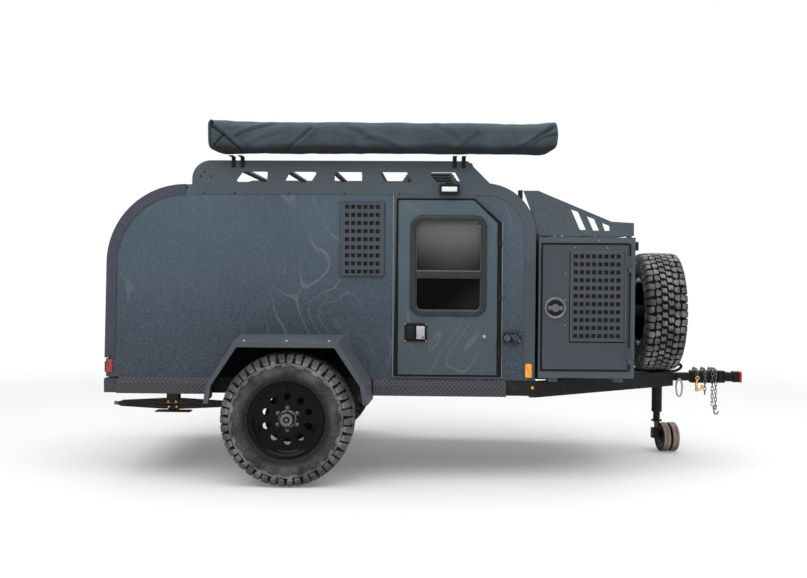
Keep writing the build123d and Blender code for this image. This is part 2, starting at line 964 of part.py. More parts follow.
def make_body():
    """Side walls, wrapped skins, floor and galley partitions."""
    with BuildPart() as wall:
        extrude(wall_outline(side_plane(body_half)), amount=-wall_thickness)
        extrude(door_outline(side_plane(body_half), door_gap), amount=-wall_thickness, mode=Mode.SUBTRACT)
    save_both(wall, "side_walls")

    arc_x = front_face - front_arc_radius
    arc_z = roof_top - front_arc_radius
    skin_rear = hatch_hinge_x + hatch_gap
    front_in = front_face - skin_thickness
    roof_in = roof_top - skin_thickness
    tail_in = tail_face + skin_thickness
    with BuildPart() as skins:
        with BuildSketch(side_plane(-body_half)):
            with BuildLine():
                Polyline((skin_rear, roof_in), (skin_rear, roof_top), (arc_x, roof_top))
                CenterArc((arc_x, arc_z), front_arc_radius, 90, -90)
                Polyline(
                    (front_face, arc_z),
                    (front_face, wall_bottom),
                    (front_in, wall_bottom),
                    (front_in, arc_z),
                )
                CenterArc((arc_x, arc_z), front_arc_radius - skin_thickness, 0, 90)
                Line((arc_x, roof_in), (skin_rear, roof_in))
            make_face()
        extrude(amount=2 * body_half)
        block((tail_face, tail_in), (-body_half, body_half), (wall_bottom, hatch_foot_z - hatch_gap))
        hinge_barrels(roof_barrels, 1)
        rod_out = hatch_barrels[-1][1] * body_half
        extrude(hinge_disc(-rod_out, hinge_rod_radius), amount=2 * rod_out)
    save(skins, "body_skins")

    inner_half = body_half - wall_thickness
    with BuildPart() as floor:
        block((tail_in, front_in), (-inner_half, inner_half), (wall_bottom, wall_bottom + floor_thickness))
    save(floor, "floor")

    floor_top = wall_bottom + floor_thickness
    counter_rear = hatch_foot_x + skin_thickness + hatch_gap + counter_front_gap
    with BuildPart() as galley:
        block((bulkhead_x, bulkhead_x + skin_thickness), (-inner_half, inner_half), (floor_top, roof_in))
        block(
            (counter_rear, bulkhead_x),
            (-inner_half, inner_half),
            (counter_height, counter_height + skin_thickness),
        )
    save(galley, "galley")


def hinge_disc(out, radius):
    """A round outline on the hatch's hinge axis."""
    return disc(side_plane(out), (hatch_hinge_x, hatch_hinge_z), radius)


def hinge_barrels(shares, lean):
    """Barrels on the hatch's hinge axis, each with a leaf on the skin; lean is 1 ahead, -1 behind."""
    for low, high in shares:
        span = (high - low) * body_half
        extrude(hinge_disc(-high * body_half, hinge_barrel_radius), amount=span)
        leaf = sorted((hatch_hinge_x, hatch_hinge_x + lean * hinge_leaf_length))
        block(leaf, (low * body_half, high * body_half), (roof_top, roof_top + hinge_leaf))


def make_hatch():
    """Rear hatch: curved skin and the flat bands that lap over the side walls."""
    inner_radius = hatch_radius - skin_thickness
    band_radius = hatch_radius - hatch_band_width
    with BuildPart() as hatch:
        with BuildSketch(side_plane(-body_half)):
            with BuildLine():
                CenterArc((hatch_arc_x, hatch_arc_z), hatch_radius, 90, 90)
                Polyline(
                    (hatch_arc_x - hatch_radius, hatch_arc_z),
                    (hatch_foot_x, hatch_foot_z),
                    (hatch_foot_x + skin_thickness, hatch_foot_z),
                    (hatch_arc_x - inner_radius, hatch_arc_z),
                )
                CenterArc((hatch_arc_x, hatch_arc_z), inner_radius, 180, -90)
                Line((hatch_arc_x, hatch_arc_z + inner_radius), (hatch_arc_x, hatch_arc_z + hatch_radius))
            make_face()
        extrude(amount=2 * body_half)
        hinge_barrels(hatch_barrels, -1)
        plate_high = hatch_foot_z + hatch_latch_height + hatch_latch_drop
        plate_ahead = (-rear_reach, hatch_foot_x + hatch_latch_inset)
        block(
            plate_ahead,
            (-hatch_latch_half, hatch_latch_half),
            (plate_high - hatch_latch_height, plate_high),
        )
        extrude(hinge_disc(-body_half, hinge_rod_radius + fit_gap), amount=2 * body_half, mode=Mode.SUBTRACT)
    save(hatch, "hatch_skin")

    with BuildPart() as band:
        with BuildSketch(side_plane(body_half)):
            with BuildLine():
                CenterArc((hatch_arc_x, hatch_arc_z), hatch_radius, 90, 90)
                Polyline(
                    (hatch_arc_x - hatch_radius, hatch_arc_z),
                    (hatch_foot_x, hatch_foot_z),
                    (hatch_foot_x + hatch_band_width, hatch_foot_z + skin_thickness / 2),
                    (hatch_arc_x - band_radius, hatch_arc_z),
                )
                CenterArc((hatch_arc_x, hatch_arc_z), band_radius, 180, -90)
                Line((hatch_arc_x, hatch_arc_z + band_radius), (hatch_arc_x, hatch_arc_z + hatch_radius))
            make_face()
        extrude(amount=trim_thickness + trim_gap)
        relief = wall_outline(side_plane(body_half))
        extrude(relief, amount=trim_gap, mode=Mode.SUBTRACT)
    save_both(band, "hatch_bands")


def make_door_surrounds():
    """Frame ring round each cabin door, and the catch that holds the open door."""
    with BuildPart() as surround:
        extrude(door_outline(side_plane(body_half), door_frame_width), amount=door_frame_thickness)
        extrude(
            door_outline(side_plane(body_half), door_gap),
            amount=door_frame_thickness,
            mode=Mode.SUBTRACT,
        )
        below = (
            (door_rear - 2 * door_frame_width, door_front + 2 * door_frame_width),
            (-sill_outer, -body_half),
        )
        block(*below, (sill_knee, door_frame_bottom), Mode.SUBTRACT)
        catch = rectangle(
            side_plane(body_half), (catch_rear, catch_bottom), (catch_front, catch_top), latch_corner
        )
        extrude(catch, amount=catch_proud)
        slot_low = (catch_rear + catch_slot, catch_bottom + catch_slot / 2)
        slot_high = (catch_front - catch_slot / 2, catch_top - catch_slot / 2)
        slot = rectangle(side_plane(body_half + latch_corner), slot_low, slot_high)
        extrude(slot, amount=catch_proud, mode=Mode.SUBTRACT)
        hinge_out = body_half + door_proud + knuckle_radius
        fixed_knuckles(
            door_front + door_hinge_offset,
            hinge_out,
            body_half + door_frame_thickness,
            knuckle_heights,
        )
    save_both(surround, "door_surrounds")


def make_cabin_doors():
    """Door leaf, its window frame, latch and hinge knuckles, and the two panes."""
    leaf_out = body_half + door_proud
    leaf_thickness = wall_thickness + door_proud
    hinge_out = leaf_out + knuckle_radius
    hinge_x = door_front + door_hinge_offset
    bar_low = (window_rear + window_border, window_bar_bottom)
    bar_high = (window_front - window_border, window_bar_top)
    with BuildPart() as leaf:
        extrude(door_outline(side_plane(leaf_out), 0), amount=-leaf_thickness)
        opening = window_outline(side_plane(leaf_out), window_sleeve)
        extrude(opening, amount=-leaf_thickness, mode=Mode.SUBTRACT)
    save_pair(leaf, "cabin_door")

    with BuildPart() as fittings:
        extrude(window_outline(side_plane(leaf_out), 0), amount=window_proud)
        extrude(window_outline(side_plane(leaf_out), window_sleeve), amount=-leaf_thickness)
        opening = window_outline(side_plane(leaf_out + window_proud), window_border)
        extrude(opening, amount=-leaf_thickness - window_proud, mode=Mode.SUBTRACT)
        extrude(
            rectangle(side_plane(leaf_out - glass_depth), bar_low, bar_high),
            amount=glass_depth + window_sleeve / 2,
        )
        plate = rectangle(
            side_plane(leaf_out), (latch_rear, latch_bottom), (latch_front, latch_top), latch_corner
        )
        extrude(plate, amount=latch_proud)
        latch_z = (latch_bottom + latch_top) / 2
        paddle_low = (latch_front - latch_corner - paddle_width, latch_z - paddle_height / 2)
        paddle_high = (latch_front - latch_corner, latch_z + paddle_height / 2)
        paddle = rectangle(side_plane(leaf_out + latch_proud), paddle_low, paddle_high, latch_corner / 2)
        extrude(paddle, amount=paddle_proud)
        grip_low = (latch_rear + latch_corner, latch_z - paddle_height / 2)
        grip_high = (latch_rear + latch_corner + grip_width, latch_z + paddle_height / 2)
        grip = rectangle(side_plane(leaf_out + latch_proud), grip_low, grip_high, latch_corner / 2)
        extrude(grip, amount=grip_proud)
        pin = disc(side_plane(leaf_out), (bumper_pin_x, bumper_pin_z), bumper_pin_radius)
        extrude(pin, amount=bumper_pin_length)
        for height in knuckle_heights:
            low = height - knuckle_length / 2
            barrel = disc(plan_plane(low), (hinge_x, -hinge_out), knuckle_radius)
            extrude(barrel, amount=knuckle_length)
            strap = ((door_front - door_strap, hinge_x), (-hinge_out, -leaf_out))
            block(*strap, (low, low + knuckle_length))
    save_pair(fittings, "door_fittings")

    with BuildPart() as panes:
        glass_out = leaf_out - glass_depth
        whole = window_outline(side_plane(glass_out), window_border)
        extrude(whole, amount=-glass_thickness)
    save_pair(panes, "window_glass")


def make_rack():
    """Roof rack side plates with their openings, running down the front corner, and crossbars."""
    slope_z = rack_arc_z + math.sqrt(rack_front_radius**2 - (rack_slope_end - rack_front_x) ** 2)
    slope_angle = math.degrees(math.atan2(slope_z - rack_arc_z, rack_slope_end - rack_front_x))
    front_x = rack_front_x + rack_front_radius
    inner_x = front_x - front_trim_width
    corner_x = rack_rear + rack_corner_radius
    corner_z = rack_top - rack_corner_radius
    with BuildPart() as plate:
        with BuildSketch(side_plane(body_half)):
            with BuildLine():
                Line((rack_rear, rack_bottom), (rack_rear, corner_z))
                CenterArc((corner_x, corner_z), rack_corner_radius, 180, -90)
                Polyline((corner_x, rack_top), (rack_slope_start, rack_top), (rack_slope_end, slope_z))
                CenterArc((rack_front_x, rack_arc_z), rack_front_radius, slope_angle, -slope_angle)
                Polyline(
                    (front_x, rack_arc_z),
                    (front_x, front_trim_joint),
                    (inner_x, front_trim_joint),
                    (inner_x, rack_arc_z),
                )
                CenterArc((inner_x - rack_inner_radius, rack_arc_z), rack_inner_radius, 0, 90)
                Line((inner_x - rack_inner_radius, rack_arc_z + rack_inner_radius), (rack_rear, rack_bottom))
            make_face()
        extrude(amount=rack_thickness)
        length = rack_slope_end - rack_rear
        for cutout in cutouts:
            points = (
                (rack_rear + cutout["low_rear"] * length, cutout_bottom),
                (rack_rear + cutout["low_front"] * length, cutout_bottom),
                (rack_rear + cutout["high_front"] * length, cutout_top),
                (rack_rear + cutout["high_rear"] * length, cutout_top),
            )
            opening = polygon(side_plane(body_half), points, cutout_corner)
            extrude(opening, amount=rack_thickness, mode=Mode.SUBTRACT)
    save_both(plate, "rack_plates")

    with BuildPart() as bars:
        for share in crossbar_shares:
            station = rack_rear + share * (rack_slope_end - rack_rear)
            extrude(
                disc(side_plane(-body_half), (station, crossbar_height), crossbar_radius),
                amount=2 * body_half,
            )
    save(bars, "rack_crossbars")

    with BuildPart() as strip:
        low = (inner_x, front_trim_bottom)
        high = (front_x, front_trim_joint - trim_gap)
        extrude(rectangle(side_plane(body_half), low, high), amount=rack_thickness)
    save_both(strip, "front_trims")


def make_roof_fan():
    """Roof fan: a square base and a domed lid."""
    fan_x = fan_rear + fan_length / 2
    lid_z = roof_top + fan_base_height
    with BuildPart() as fan:
        block((fan_rear, fan_rear + fan_length), (-fan_half, fan_half), (roof_top, lid_z))
        with BuildSketch(plan_plane(lid_z)) as lid_base:
            with Locations((fan_x, 0)):
                RectangleRounded(fan_length - fan_lid_inset, 2 * fan_half - fan_lid_inset, fan_lid_corner)
        extrude(lid_base.sketch, amount=fan_lid_height, taper=fan_lid_slope)
        pitch = fan_lid_height / (fan_slat_count + 1)
        for slat in range(1, fan_slat_count + 1):
            shrink = 2 * slat * pitch * math.tan(math.radians(fan_lid_slope)) - fan_slat_reach
            with BuildSketch(plan_plane(lid_z + slat * pitch)) as slat_base:
                with Locations((fan_x, 0)):
                    Rectangle(fan_length - fan_lid_inset - shrink, 2 * fan_half - fan_lid_inset - shrink)
                chamfer(slat_base.vertices(), fan_lid_corner - shrink / 4)
            extrude(slat_base.sketch, amount=fan_slat_thickness)
    save(fan, "roof_fan")


def make_awning():
    """Soft awning bag along the right-hand rack plate, on four small brackets."""
    length = awning_front - awning_rear
    rear_full = awning_rear + awning_rear_taper
    front_full = awning_front - awning_front_taper
    stations = (
        (awning_rear, awning_low + awning_rear_lift, awning_end_depth),
        (rear_full, awning_low, awning_depth),
        (front_full, awning_low, awning_depth),
        (awning_front, awning_low + awning_front_lift, awning_end_depth),
    )
    with BuildPart() as bag:
        sections = []
        for ahead, low_z, depth in stations:
            inner = -awning_out + depth / 2
            high_z = awning_top - awning_tilt * (ahead - awning_rear) / length
            sections.append(
                rectangle(cross_plane(ahead), (inner - depth, low_z), (inner, high_z), awning_corner),
            )
        loft(sections, ruled=True)
    save(bag, "awning_bag")

    shelf_top = awning_low - seat_gap
    rear_bracket = awning_rear + awning_rear_bracket
    front_bracket = awning_front - awning_front_bracket
    shelf_low = shelf_top - awning_bracket_thickness
    plate_out = body_half + rack_thickness
    leg_in = plate_out + awning_bracket_thickness
    with BuildPart() as brackets:
        for station in (
            rear_bracket,
            rear_bracket + awning_bracket_spacing,
            front_bracket - awning_bracket_spacing,
            front_bracket,
        ):
            ends = (station - awning_bracket_width / 2, station + awning_bracket_width / 2)
            block(ends, (-leg_in, -plate_out), (rack_top - awning_bracket_drop, shelf_low))
            block(ends, (-plate_out - awning_bracket_reach, -plate_out), (shelf_low, shelf_top))
    save(brackets, "awning_brackets")


def make_lamps():
    """Side reflectors, tail lamps and the lights over the doors."""
    tail_depth = rear_reach + tail_face
    light_face = body_half + rack_thickness
    with BuildPart() as lamps:
        red = rectangle(side_plane(body_half), (red_rear, red_bottom), (red_front, red_top))
        extrude(red, amount=lamp_thickness)
        amber = rectangle(
            side_plane(body_half + rack_thickness), (amber_rear, amber_bottom), (amber_front, amber_top)
        )
        extrude(amber, amount=lamp_thickness)
        tail_across = (-tail_lamp_out - tail_lamp_half, -tail_lamp_out + tail_lamp_half)
        tail_heights = (tail_lamp_z - tail_lamp_height / 2, tail_lamp_z + tail_lamp_height / 2)
        block((-rear_reach, -rear_reach + tail_depth), tail_across, tail_heights)
        housing = rectangle(side_plane(light_face), (light_rear, light_bottom), (light_front, light_top))
        extrude(housing, amount=light_depth)
        fin_pitch = (light_front - light_rear) / light_fin_count
        for fin in range(light_fin_count - 1):
            groove_x = light_rear + (fin + 1) * fin_pitch
            groove_low = (groove_x - light_fin / 2, light_bottom)
            groove_high = (groove_x + light_fin / 2, light_top)
            groove = rectangle(side_plane(light_face), groove_low, groove_high)
            extrude(groove, amount=light_fin_depth, mode=Mode.SUBTRACT)
        lens_low = (light_rear + light_lens_border, light_bottom + light_lens_border)
        lens_high = (light_front - light_lens_border, light_top - light_lens_border)
        lens = rectangle(side_plane(light_face + light_depth), lens_low, lens_high)
        extrude(lens, amount=-light_lens_depth, mode=Mode.SUBTRACT)
    save_both(lamps, "lamps")


def make_vents():
    """Raised wall vent with rows of square cells."""
    middle = ((vent_rear + vent_front) / 2, (vent_bottom + vent_top) / 2)
    vent_out = body_half + vent_proud
    with BuildPart() as vent:
        extrude(
            rectangle(side_plane(body_half), (vent_rear, vent_bottom), (vent_front, vent_top)),
            amount=vent_proud,
        )
        chamfer(vent.faces().sort_by(Axis.Y)[0].edges(), vent_rim)
        with BuildSketch(side_plane(vent_out)) as cells:
            with Locations(middle):
                with GridLocations(vent_pitch_x, vent_pitch_z, vent_columns, vent_rows):
                    Rectangle(vent_cell_width, vent_cell_height)
        extrude(cells.sketch, amount=-vent_cell_depth, mode=Mode.SUBTRACT)
    save_both(vent, "wall_vents")


def make_box():
    """Front storage box, its bearers, the two doors and the rack on top."""
    inner_half = box_half - box_wall
    opening_low = (box_door_rear - box_door_gap, box_door_bottom - box_door_gap)
    opening_high = (box_door_front + box_door_gap, box_door_top + box_door_gap)
    with BuildPart() as body:
        block((box_rear, box_front), (-box_half, box_half), (box_bottom, box_top))
        inner_x = (box_rear + box_wall, box_front - box_wall)
        block(inner_x, (-inner_half, inner_half), (box_bottom + box_wall, box_top - box_wall), Mode.SUBTRACT)
        doorway = rectangle(side_plane(-box_half), opening_low, opening_high)
        extrude(doorway, amount=2 * box_half, mode=Mode.SUBTRACT)
        for station in (box_rear + box_shelf_inset, box_front - box_shelf_inset - box_shelf_width):
            block((station, station + box_shelf_width), (-inner_half, inner_half), (arm_top, box_bottom))
        leaf_out = box_half + box_door_proud
        hinge_x = box_door_front + box_hinge_offset
        hinge_out = leaf_out + knuckle_radius
        for side in (-1, 1):
            fixed_knuckles(hinge_x, hinge_out, box_half, box_knuckle_heights, side)
    save(body, "box_body")

    grille_out = leaf_out + grille_depth
    grille_middle = ((grille_rear + grille_front) / 2, (grille_bottom + grille_top) / 2)
    with BuildPart() as door:
        leaf_low = (box_door_rear, box_door_bottom)
        leaf = rectangle(side_plane(leaf_out), leaf_low, (box_door_front, box_door_top))
        extrude(leaf, amount=-box_door_thickness)
        grille = rectangle(side_plane(leaf_out), (grille_rear, grille_bottom), (grille_front, grille_top))
        extrude(grille, amount=grille_depth)
        with BuildSketch(side_plane(grille_out)) as cells:
            with Locations(grille_middle):
                with GridLocations(grille_pitch_x, grille_pitch_z, grille_columns, grille_rows):
                    Rectangle(grille_cell_width, grille_cell_height)
        extrude(cells.sketch, amount=-grille_cell_depth, mode=Mode.SUBTRACT)
        latch_place = (box_latch_x, box_latch_z)
        extrude(disc(side_plane(leaf_out), latch_place, box_latch_radius), amount=box_latch_proud)
        latch_out = leaf_out + box_latch_proud
        dish = disc(side_plane(latch_out), latch_place, box_latch_dish)
        extrude(dish, amount=-box_latch_dish_depth, mode=Mode.SUBTRACT)
        handle_low = (box_latch_x - box_handle_half, box_latch_z - box_handle_width)
        handle_high = (box_latch_x + box_handle_half, box_latch_z + box_handle_width)
        handle = rectangle(side_plane(latch_out - box_latch_dish_depth), handle_low, handle_high)
        extrude(handle, amount=box_handle_proud)
        for height in box_knuckle_heights:
            low = height - knuckle_length / 2
            barrel = disc(plan_plane(low), (hinge_x, -hinge_out), knuckle_radius)
            extrude(barrel, amount=knuckle_length)
            strap = ((box_door_front - door_strap, hinge_x), (-hinge_out, -leaf_out))
            block(*strap, (low, low + knuckle_length))
    save_pair(door, "box_door")

    def on_side_plate(shares):
        return [
            (box_rack_rear + x * box_rack_length, box_rack_bottom + z * box_rack_height) for x, z in shares
        ]

    first_bar = box_rear + box_shelf_inset
    last_bar = box_front - box_bar_front_inset
    with BuildPart() as rack:
        for side in (-1, 1):
            plane = side_plane(side * box_rack_half)
            extrude(polygon(plane, on_side_plate(box_rack_points)), amount=side * -rack_thickness)
            for slot in box_rack_slots:
                opening = polygon(plane, on_side_plate(slot))
                extrude(opening, amount=side * -rack_thickness, mode=Mode.SUBTRACT)
        bar_low = box_top + box_bar_rise
        for station in (first_bar, (first_bar + last_bar) / 2, last_bar):
            block(
                (station, station + box_bar_size),
                (-box_rack_half, box_rack_half),
                (bar_low, bar_low + box_bar_size),
            )
            foot_half = box_rack_half - rack_thickness
            for foot in (-foot_half, foot_half - box_bar_size):
                block((station, station + box_bar_size), (foot, foot + box_bar_size), (box_top, bar_low))
    save(rack, "box_rack")


def jack_frame():
    """Plan direction of the left drawbar arm, its outward normal and the jack's place."""
    run = Vector(arm_tip_x - frame_front, arm_tip_outer - rail_outer, 0).normalized()
    outward = Vector(-run.Y, run.X, 0)
    share_along = (jack_base_x - frame_front) / (arm_tip_x - frame_front)
    base_y = rail_outer + (arm_tip_outer - rail_outer) * share_along
    base = Vector(axle_x + jack_base_x, base_y, 0)
    return run, outward, base, base + outward * jack_gap


def make_jack():
    """Drop-leg jack beside the left arm: outer tube, sliding leg, caster fork and twin wheels."""
    run, outward, base, centre = jack_frame()
    upright = Plane(origin=centre, x_dir=run, z_dir=(0, 0, 1))
    with BuildPart() as outer:
        with BuildSketch(upright.offset(jack_outer_bottom)) as tube:
            Circle(jack_outer_radius)
        extrude(tube.sketch, amount=jack_outer_top - jack_outer_bottom)
        with BuildSketch(upright.offset(arm_bottom - jack_collar_height)) as collar:
            Circle(jack_collar_radius)
        extrude(collar.sketch, amount=jack_collar_height)
        post_plane = Plane(origin=base + Vector(0, 0, jack_post_z), x_dir=run, z_dir=outward)
        with BuildSketch(post_plane) as post:
            Circle(jack_post_radius)
        extrude(post.sketch, amount=jack_gap)
        with BuildSketch(post_plane) as plate:
            Rectangle(jack_plate_width, arm_top - arm_bottom - fork_plate)
        extrude(plate.sketch, amount=jack_plate_thickness)
        with BuildSketch(upright.offset(jack_outer_bottom)) as bore:
            Circle(jack_inner_radius + seat_gap)
        extrude(bore.sketch, amount=jack_leg_top - jack_outer_bottom + overrun / 2, mode=Mode.SUBTRACT)
    save(outer, "jack_outer")

    with BuildPart() as leg:
        with BuildSketch(upright.offset(jack_leg_bottom)) as tube:
            Circle(jack_inner_radius)
        extrude(tube.sketch, amount=jack_leg_top - jack_leg_bottom - caster_plate * 4)
    save(leg, "jack_leg")

    turned = Plane(origin=centre, x_dir=run.rotate(Axis.Z, caster_turn), z_dir=(0, 0, 1))
    plate_top = jack_leg_bottom - seat_gap
    hub_point = turned.origin + turned.x_dir * caster_trail + Vector(0, 0, jack_wheel_radius)
    hub_plane = Plane(origin=hub_point, x_dir=turned.x_dir, z_dir=-turned.y_dir)
    web_top = plate_top - caster_plate - jack_wheel_radius
    web_half = caster_plate_radius / 2
    with BuildPart() as fork:
        with BuildSketch(turned.offset(plate_top - caster_plate)) as plate:
            Circle(caster_plate_radius)
        extrude(plate.sketch, amount=caster_plate)
        web = (
            (-caster_trail - caster_plate_radius, web_top),
            (-caster_trail + caster_plate_radius, web_top),
            (web_half, web_half),
            (web_half, -web_half),
            (-web_half, -web_half),
        )
        extrude(polygon(hub_plane, web, caster_web / 2), amount=caster_web / 2, both=True)
        lug = rectangle(
            hub_plane.offset(caster_web / 2),
            (-web_half, caster_block_low),
            (web_half, caster_block_high),
        )
        extrude(lug, amount=caster_block_length)
        with BuildSketch(hub_plane.offset(-caster_web / 2)) as hole:
            Circle(caster_axle_radius + fit_gap)
        extrude(hole.sketch, amount=caster_web, mode=Mode.SUBTRACT)
    save(fork, "caster_fork")

    near_face = -caster_web / 2 - jack_hub_gap
    far_face = near_face - jack_wheel_width - jack_wheel_gap
    with BuildPart() as wheels:
        for face in (near_face, far_face):
            with BuildSketch(hub_plane.offset(face)) as tread:
                Circle(jack_wheel_radius)
            extrude(tread.sketch, amount=-jack_wheel_width)
        chamfer(wheels.edges().filter_by(GeomType.CIRCLE), jack_wheel_chamfer)
        with BuildSketch(hub_plane.offset(far_face)) as axle_rod:
            Circle(caster_axle_radius)
        extrude(axle_rod.sketch, amount=caster_web / 2 - seat_gap - far_face)
    save(wheels, "jack_wheels")


def leg_arm(start, end, half, web_up, end_hole):
    """A channel arm between two pivots, its web on the upper or the lower side."""
    rise = end[1] - start[1]
    run = end[0] - start[0]
    tilt = math.degrees(math.atan2(rise, abs(run)))
    facing = math.copysign(1, run)
    web_side = 1 if web_up else -1
    length = math.hypot(run, rise)
    direction = (run / length, 0, rise / length)
    normal = (0, -facing, 0)
    plane = Plane(origin=(axle_x + start[0], -leg_out, start[1]), x_dir=direction, z_dir=normal)
    shoulder = leg_web_edge - leg_plate
    with BuildPart() as arm:
        with BuildSketch(plane) as outline:
            with BuildLine():
                CenterArc((0, 0), leg_open_edge, 90, 180)
                CenterArc((length, 0), leg_open_edge, -90, 180)
                Line((0, -web_side * leg_open_edge), (length, -web_side * leg_open_edge))
                Polyline(
                    (0, web_side * leg_open_edge),
                    (leg_web_edge, web_side * leg_web_edge),
                    (length - leg_web_edge, web_side * leg_web_edge),
                    (length, web_side * leg_open_edge),
                )
            make_face()
        extrude(outline.sketch, amount=half, both=True)
        with BuildSketch(plane) as hollow:
            with Locations((length / 2, web_side * (shoulder - leg_web_edge))):
                Rectangle(length + 2 * leg_web_edge, 2 * leg_web_edge)
        extrude(hollow.sketch, amount=half - leg_plate, both=True, mode=Mode.SUBTRACT)
        with BuildSketch(plane) as near_hole:
            Circle(leg_pin_radius + fit_gap)
        extrude(near_hole.sketch, amount=half, both=True, mode=Mode.SUBTRACT)
        if end_hole:
            with BuildSketch(plane) as far_hole:
                with Locations((length, 0)):
                    Circle(leg_pin_radius + end_hole)
            extrude(far_hole.sketch, amount=half, both=True, mode=Mode.SUBTRACT)
        else:
            for side in (-1, 1):
                with BuildSketch(plane.offset(side * (half - leg_plate))) as stub:
                    with Locations((length, 0)):
                        Circle(leg_pin_radius)
                extrude(stub.sketch, amount=-side * (leg_play + leg_plate + leg_play))
    return arm


def make_stabilisers():
    """Folded scissor leg under each rail: bracket, two upper and two lower arms, foot and screw."""
    reach = math.sqrt(leg_length**2 - (leg_pivot_z - leg_knee_z) ** 2)
    half_spacing = leg_pivot_spacing / 2
    foot_z = 2 * leg_knee_z - leg_pivot_z
    bracket_inner = leg_upper_half + leg_play
    bracket_outer = bracket_inner + leg_ear
    ear_half = half_spacing + leg_ear_width / 2
    foot_ear_half = half_spacing + leg_foot_ear_width / 2
    with BuildPart() as bracket:
        plate_low = rail_bottom - leg_bracket_plate
        block(
            (leg_x - 2 * ear_half, leg_x + 2 * ear_half),
            (-leg_out - bracket_outer, -leg_out + bracket_outer),
            (plate_low, rail_bottom),
        )
        for side in (-1, 1):
            ear = sorted((-leg_out + side * bracket_inner, -leg_out + side * bracket_outer))
            block((leg_x - ear_half, leg_x + ear_half), ear, (leg_pivot_z - leg_ear_width / 2, plate_low))
            pin = disc(
                side_plane(leg_out - bracket_outer),
                (leg_x + side * half_spacing, leg_pivot_z),
                leg_pin_radius,
            )
            extrude(pin, amount=2 * bracket_outer)
    save_both(bracket, "stabiliser_brackets")

    knees = {"drive": leg_x - half_spacing - reach, "idle": leg_x + half_spacing + reach}
    pivots = {"drive": leg_x - half_spacing, "idle": leg_x + half_spacing}
    for end in ("drive", "idle"):
        knee = (knees[end], leg_knee_z)
        knee_hole = fit_gap if end == "drive" else 0
        upper = leg_arm((pivots[end], leg_pivot_z), knee, leg_upper_half, True, knee_hole)
        save_pair(upper, f"stabiliser_{end}_upper")
        foot_hole = leg_open_play if end == "drive" else fit_gap
        lower = leg_arm(knee, (pivots[end], foot_z), leg_lower_half, False, foot_hole)
        save_pair(lower, f"stabiliser_{end}_lower")

    with BuildPart() as foot:
        block(
            (leg_x - leg_foot_length / 2, leg_x + leg_foot_length / 2),
            (-leg_out - leg_foot_width / 2, -leg_out + leg_foot_width / 2),
            (leg_foot_bottom, leg_foot_bottom + leg_foot_plate),
        )
        for side in (-1, 1):
            ear = sorted((-leg_out + side * leg_foot_half, -leg_out + side * (leg_foot_half - leg_ear)))
            ear_top = foot_z + leg_open_edge
            block((leg_x - foot_ear_half, leg_x + foot_ear_half), ear, (leg_foot_bottom, ear_top))
            pin_start = leg_out - leg_lower_half
            pin = disc(side_plane(pin_start), (leg_x + side * half_spacing, foot_z), leg_pin_radius)
            extrude(pin, amount=2 * leg_lower_half)
    save_pair(foot, "stabiliser_foot")

    knee_x = knees["drive"]
    screw_front = knees["idle"] + leg_screw_over
    with BuildPart() as screw:
        block(
            (knee_x - leg_block, knee_x + leg_block),
            (-leg_out - leg_foot_half, -leg_out + leg_foot_half),
            (leg_knee_z - leg_block, leg_knee_z + leg_block),
        )
        pin = disc(side_plane(leg_out - leg_upper_half), (knee_x, leg_knee_z), leg_pin_radius)
        extrude(pin, amount=2 * leg_upper_half)
        nut_x = knee_x - leg_web_edge - leg_nut_length
        nut = disc(cross_plane(nut_x), (-leg_out, leg_knee_z), leg_nut_radius)
        extrude(nut, amount=leg_nut_length)
        rod = disc(cross_plane(nut_x), (-leg_out, leg_knee_z), leg_screw_radius)
        extrude(rod, amount=screw_front - nut_x)
    save_pair(screw, "stabiliser_screw")


make_chassis()
make_drawbar()
make_coupler()
make_chains()
make_bumper_and_sills()
make_fenders()
make_axle()
make_wheels()
make_spare_carrier()
make_body()
make_hatch()
make_door_surrounds()
make_cabin_doors()
make_rack()
make_roof_fan()
make_awning()
make_lamps()
make_vents()
make_box()
make_jack()
make_stabilisers()
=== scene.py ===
"""Off-road teardrop trailer: finishes, tyres, awning bag, windows, chains and small hardware over its CAD.

Lengths are in metres. A place is given by its distance ahead of the axle, outboard to the right, and height.
"""
from math import atan2, copysign, cos, exp, hypot, pi, radians, sin

import bmesh
import bpy
from mathutils import Matrix, Vector, noise
from mathutils.bvhtree import BVHTree


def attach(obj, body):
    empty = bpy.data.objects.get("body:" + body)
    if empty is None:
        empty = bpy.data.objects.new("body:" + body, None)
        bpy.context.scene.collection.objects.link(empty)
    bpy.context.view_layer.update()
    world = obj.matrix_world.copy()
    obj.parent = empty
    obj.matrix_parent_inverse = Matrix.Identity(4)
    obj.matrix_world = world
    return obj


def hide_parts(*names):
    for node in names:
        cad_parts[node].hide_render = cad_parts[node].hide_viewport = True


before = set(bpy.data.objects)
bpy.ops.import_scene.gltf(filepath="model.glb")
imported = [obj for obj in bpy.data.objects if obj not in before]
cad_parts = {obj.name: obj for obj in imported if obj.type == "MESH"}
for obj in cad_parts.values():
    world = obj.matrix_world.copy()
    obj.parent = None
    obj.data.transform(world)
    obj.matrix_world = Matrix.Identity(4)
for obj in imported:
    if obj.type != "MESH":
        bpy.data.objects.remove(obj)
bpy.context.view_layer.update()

axle_x = -0.9365
body_half = 0.79
rack_face = 0.794
door_face = 0.8
wheel_z = 0.4155
wheel_track_half = 0.939
spare_x = 2.485
spare_z = 1.056


def at(ahead, out, height):
    """The frame's point for a place on the trailer."""
    return Vector((axle_x + ahead, -out, height))

# Nodes and finishes


def feed(tree, socket, value):
    """Links a socket to another node's output, or sets its value. A colour is given without its alpha."""
    value = getattr(value, "socket", value)
    if isinstance(value, bpy.types.NodeSocket):
        tree.links.new(value, socket)
    elif socket.type == "RGBA":
        socket.default_value = (*value, 1.0)
    else:
        socket.default_value = value


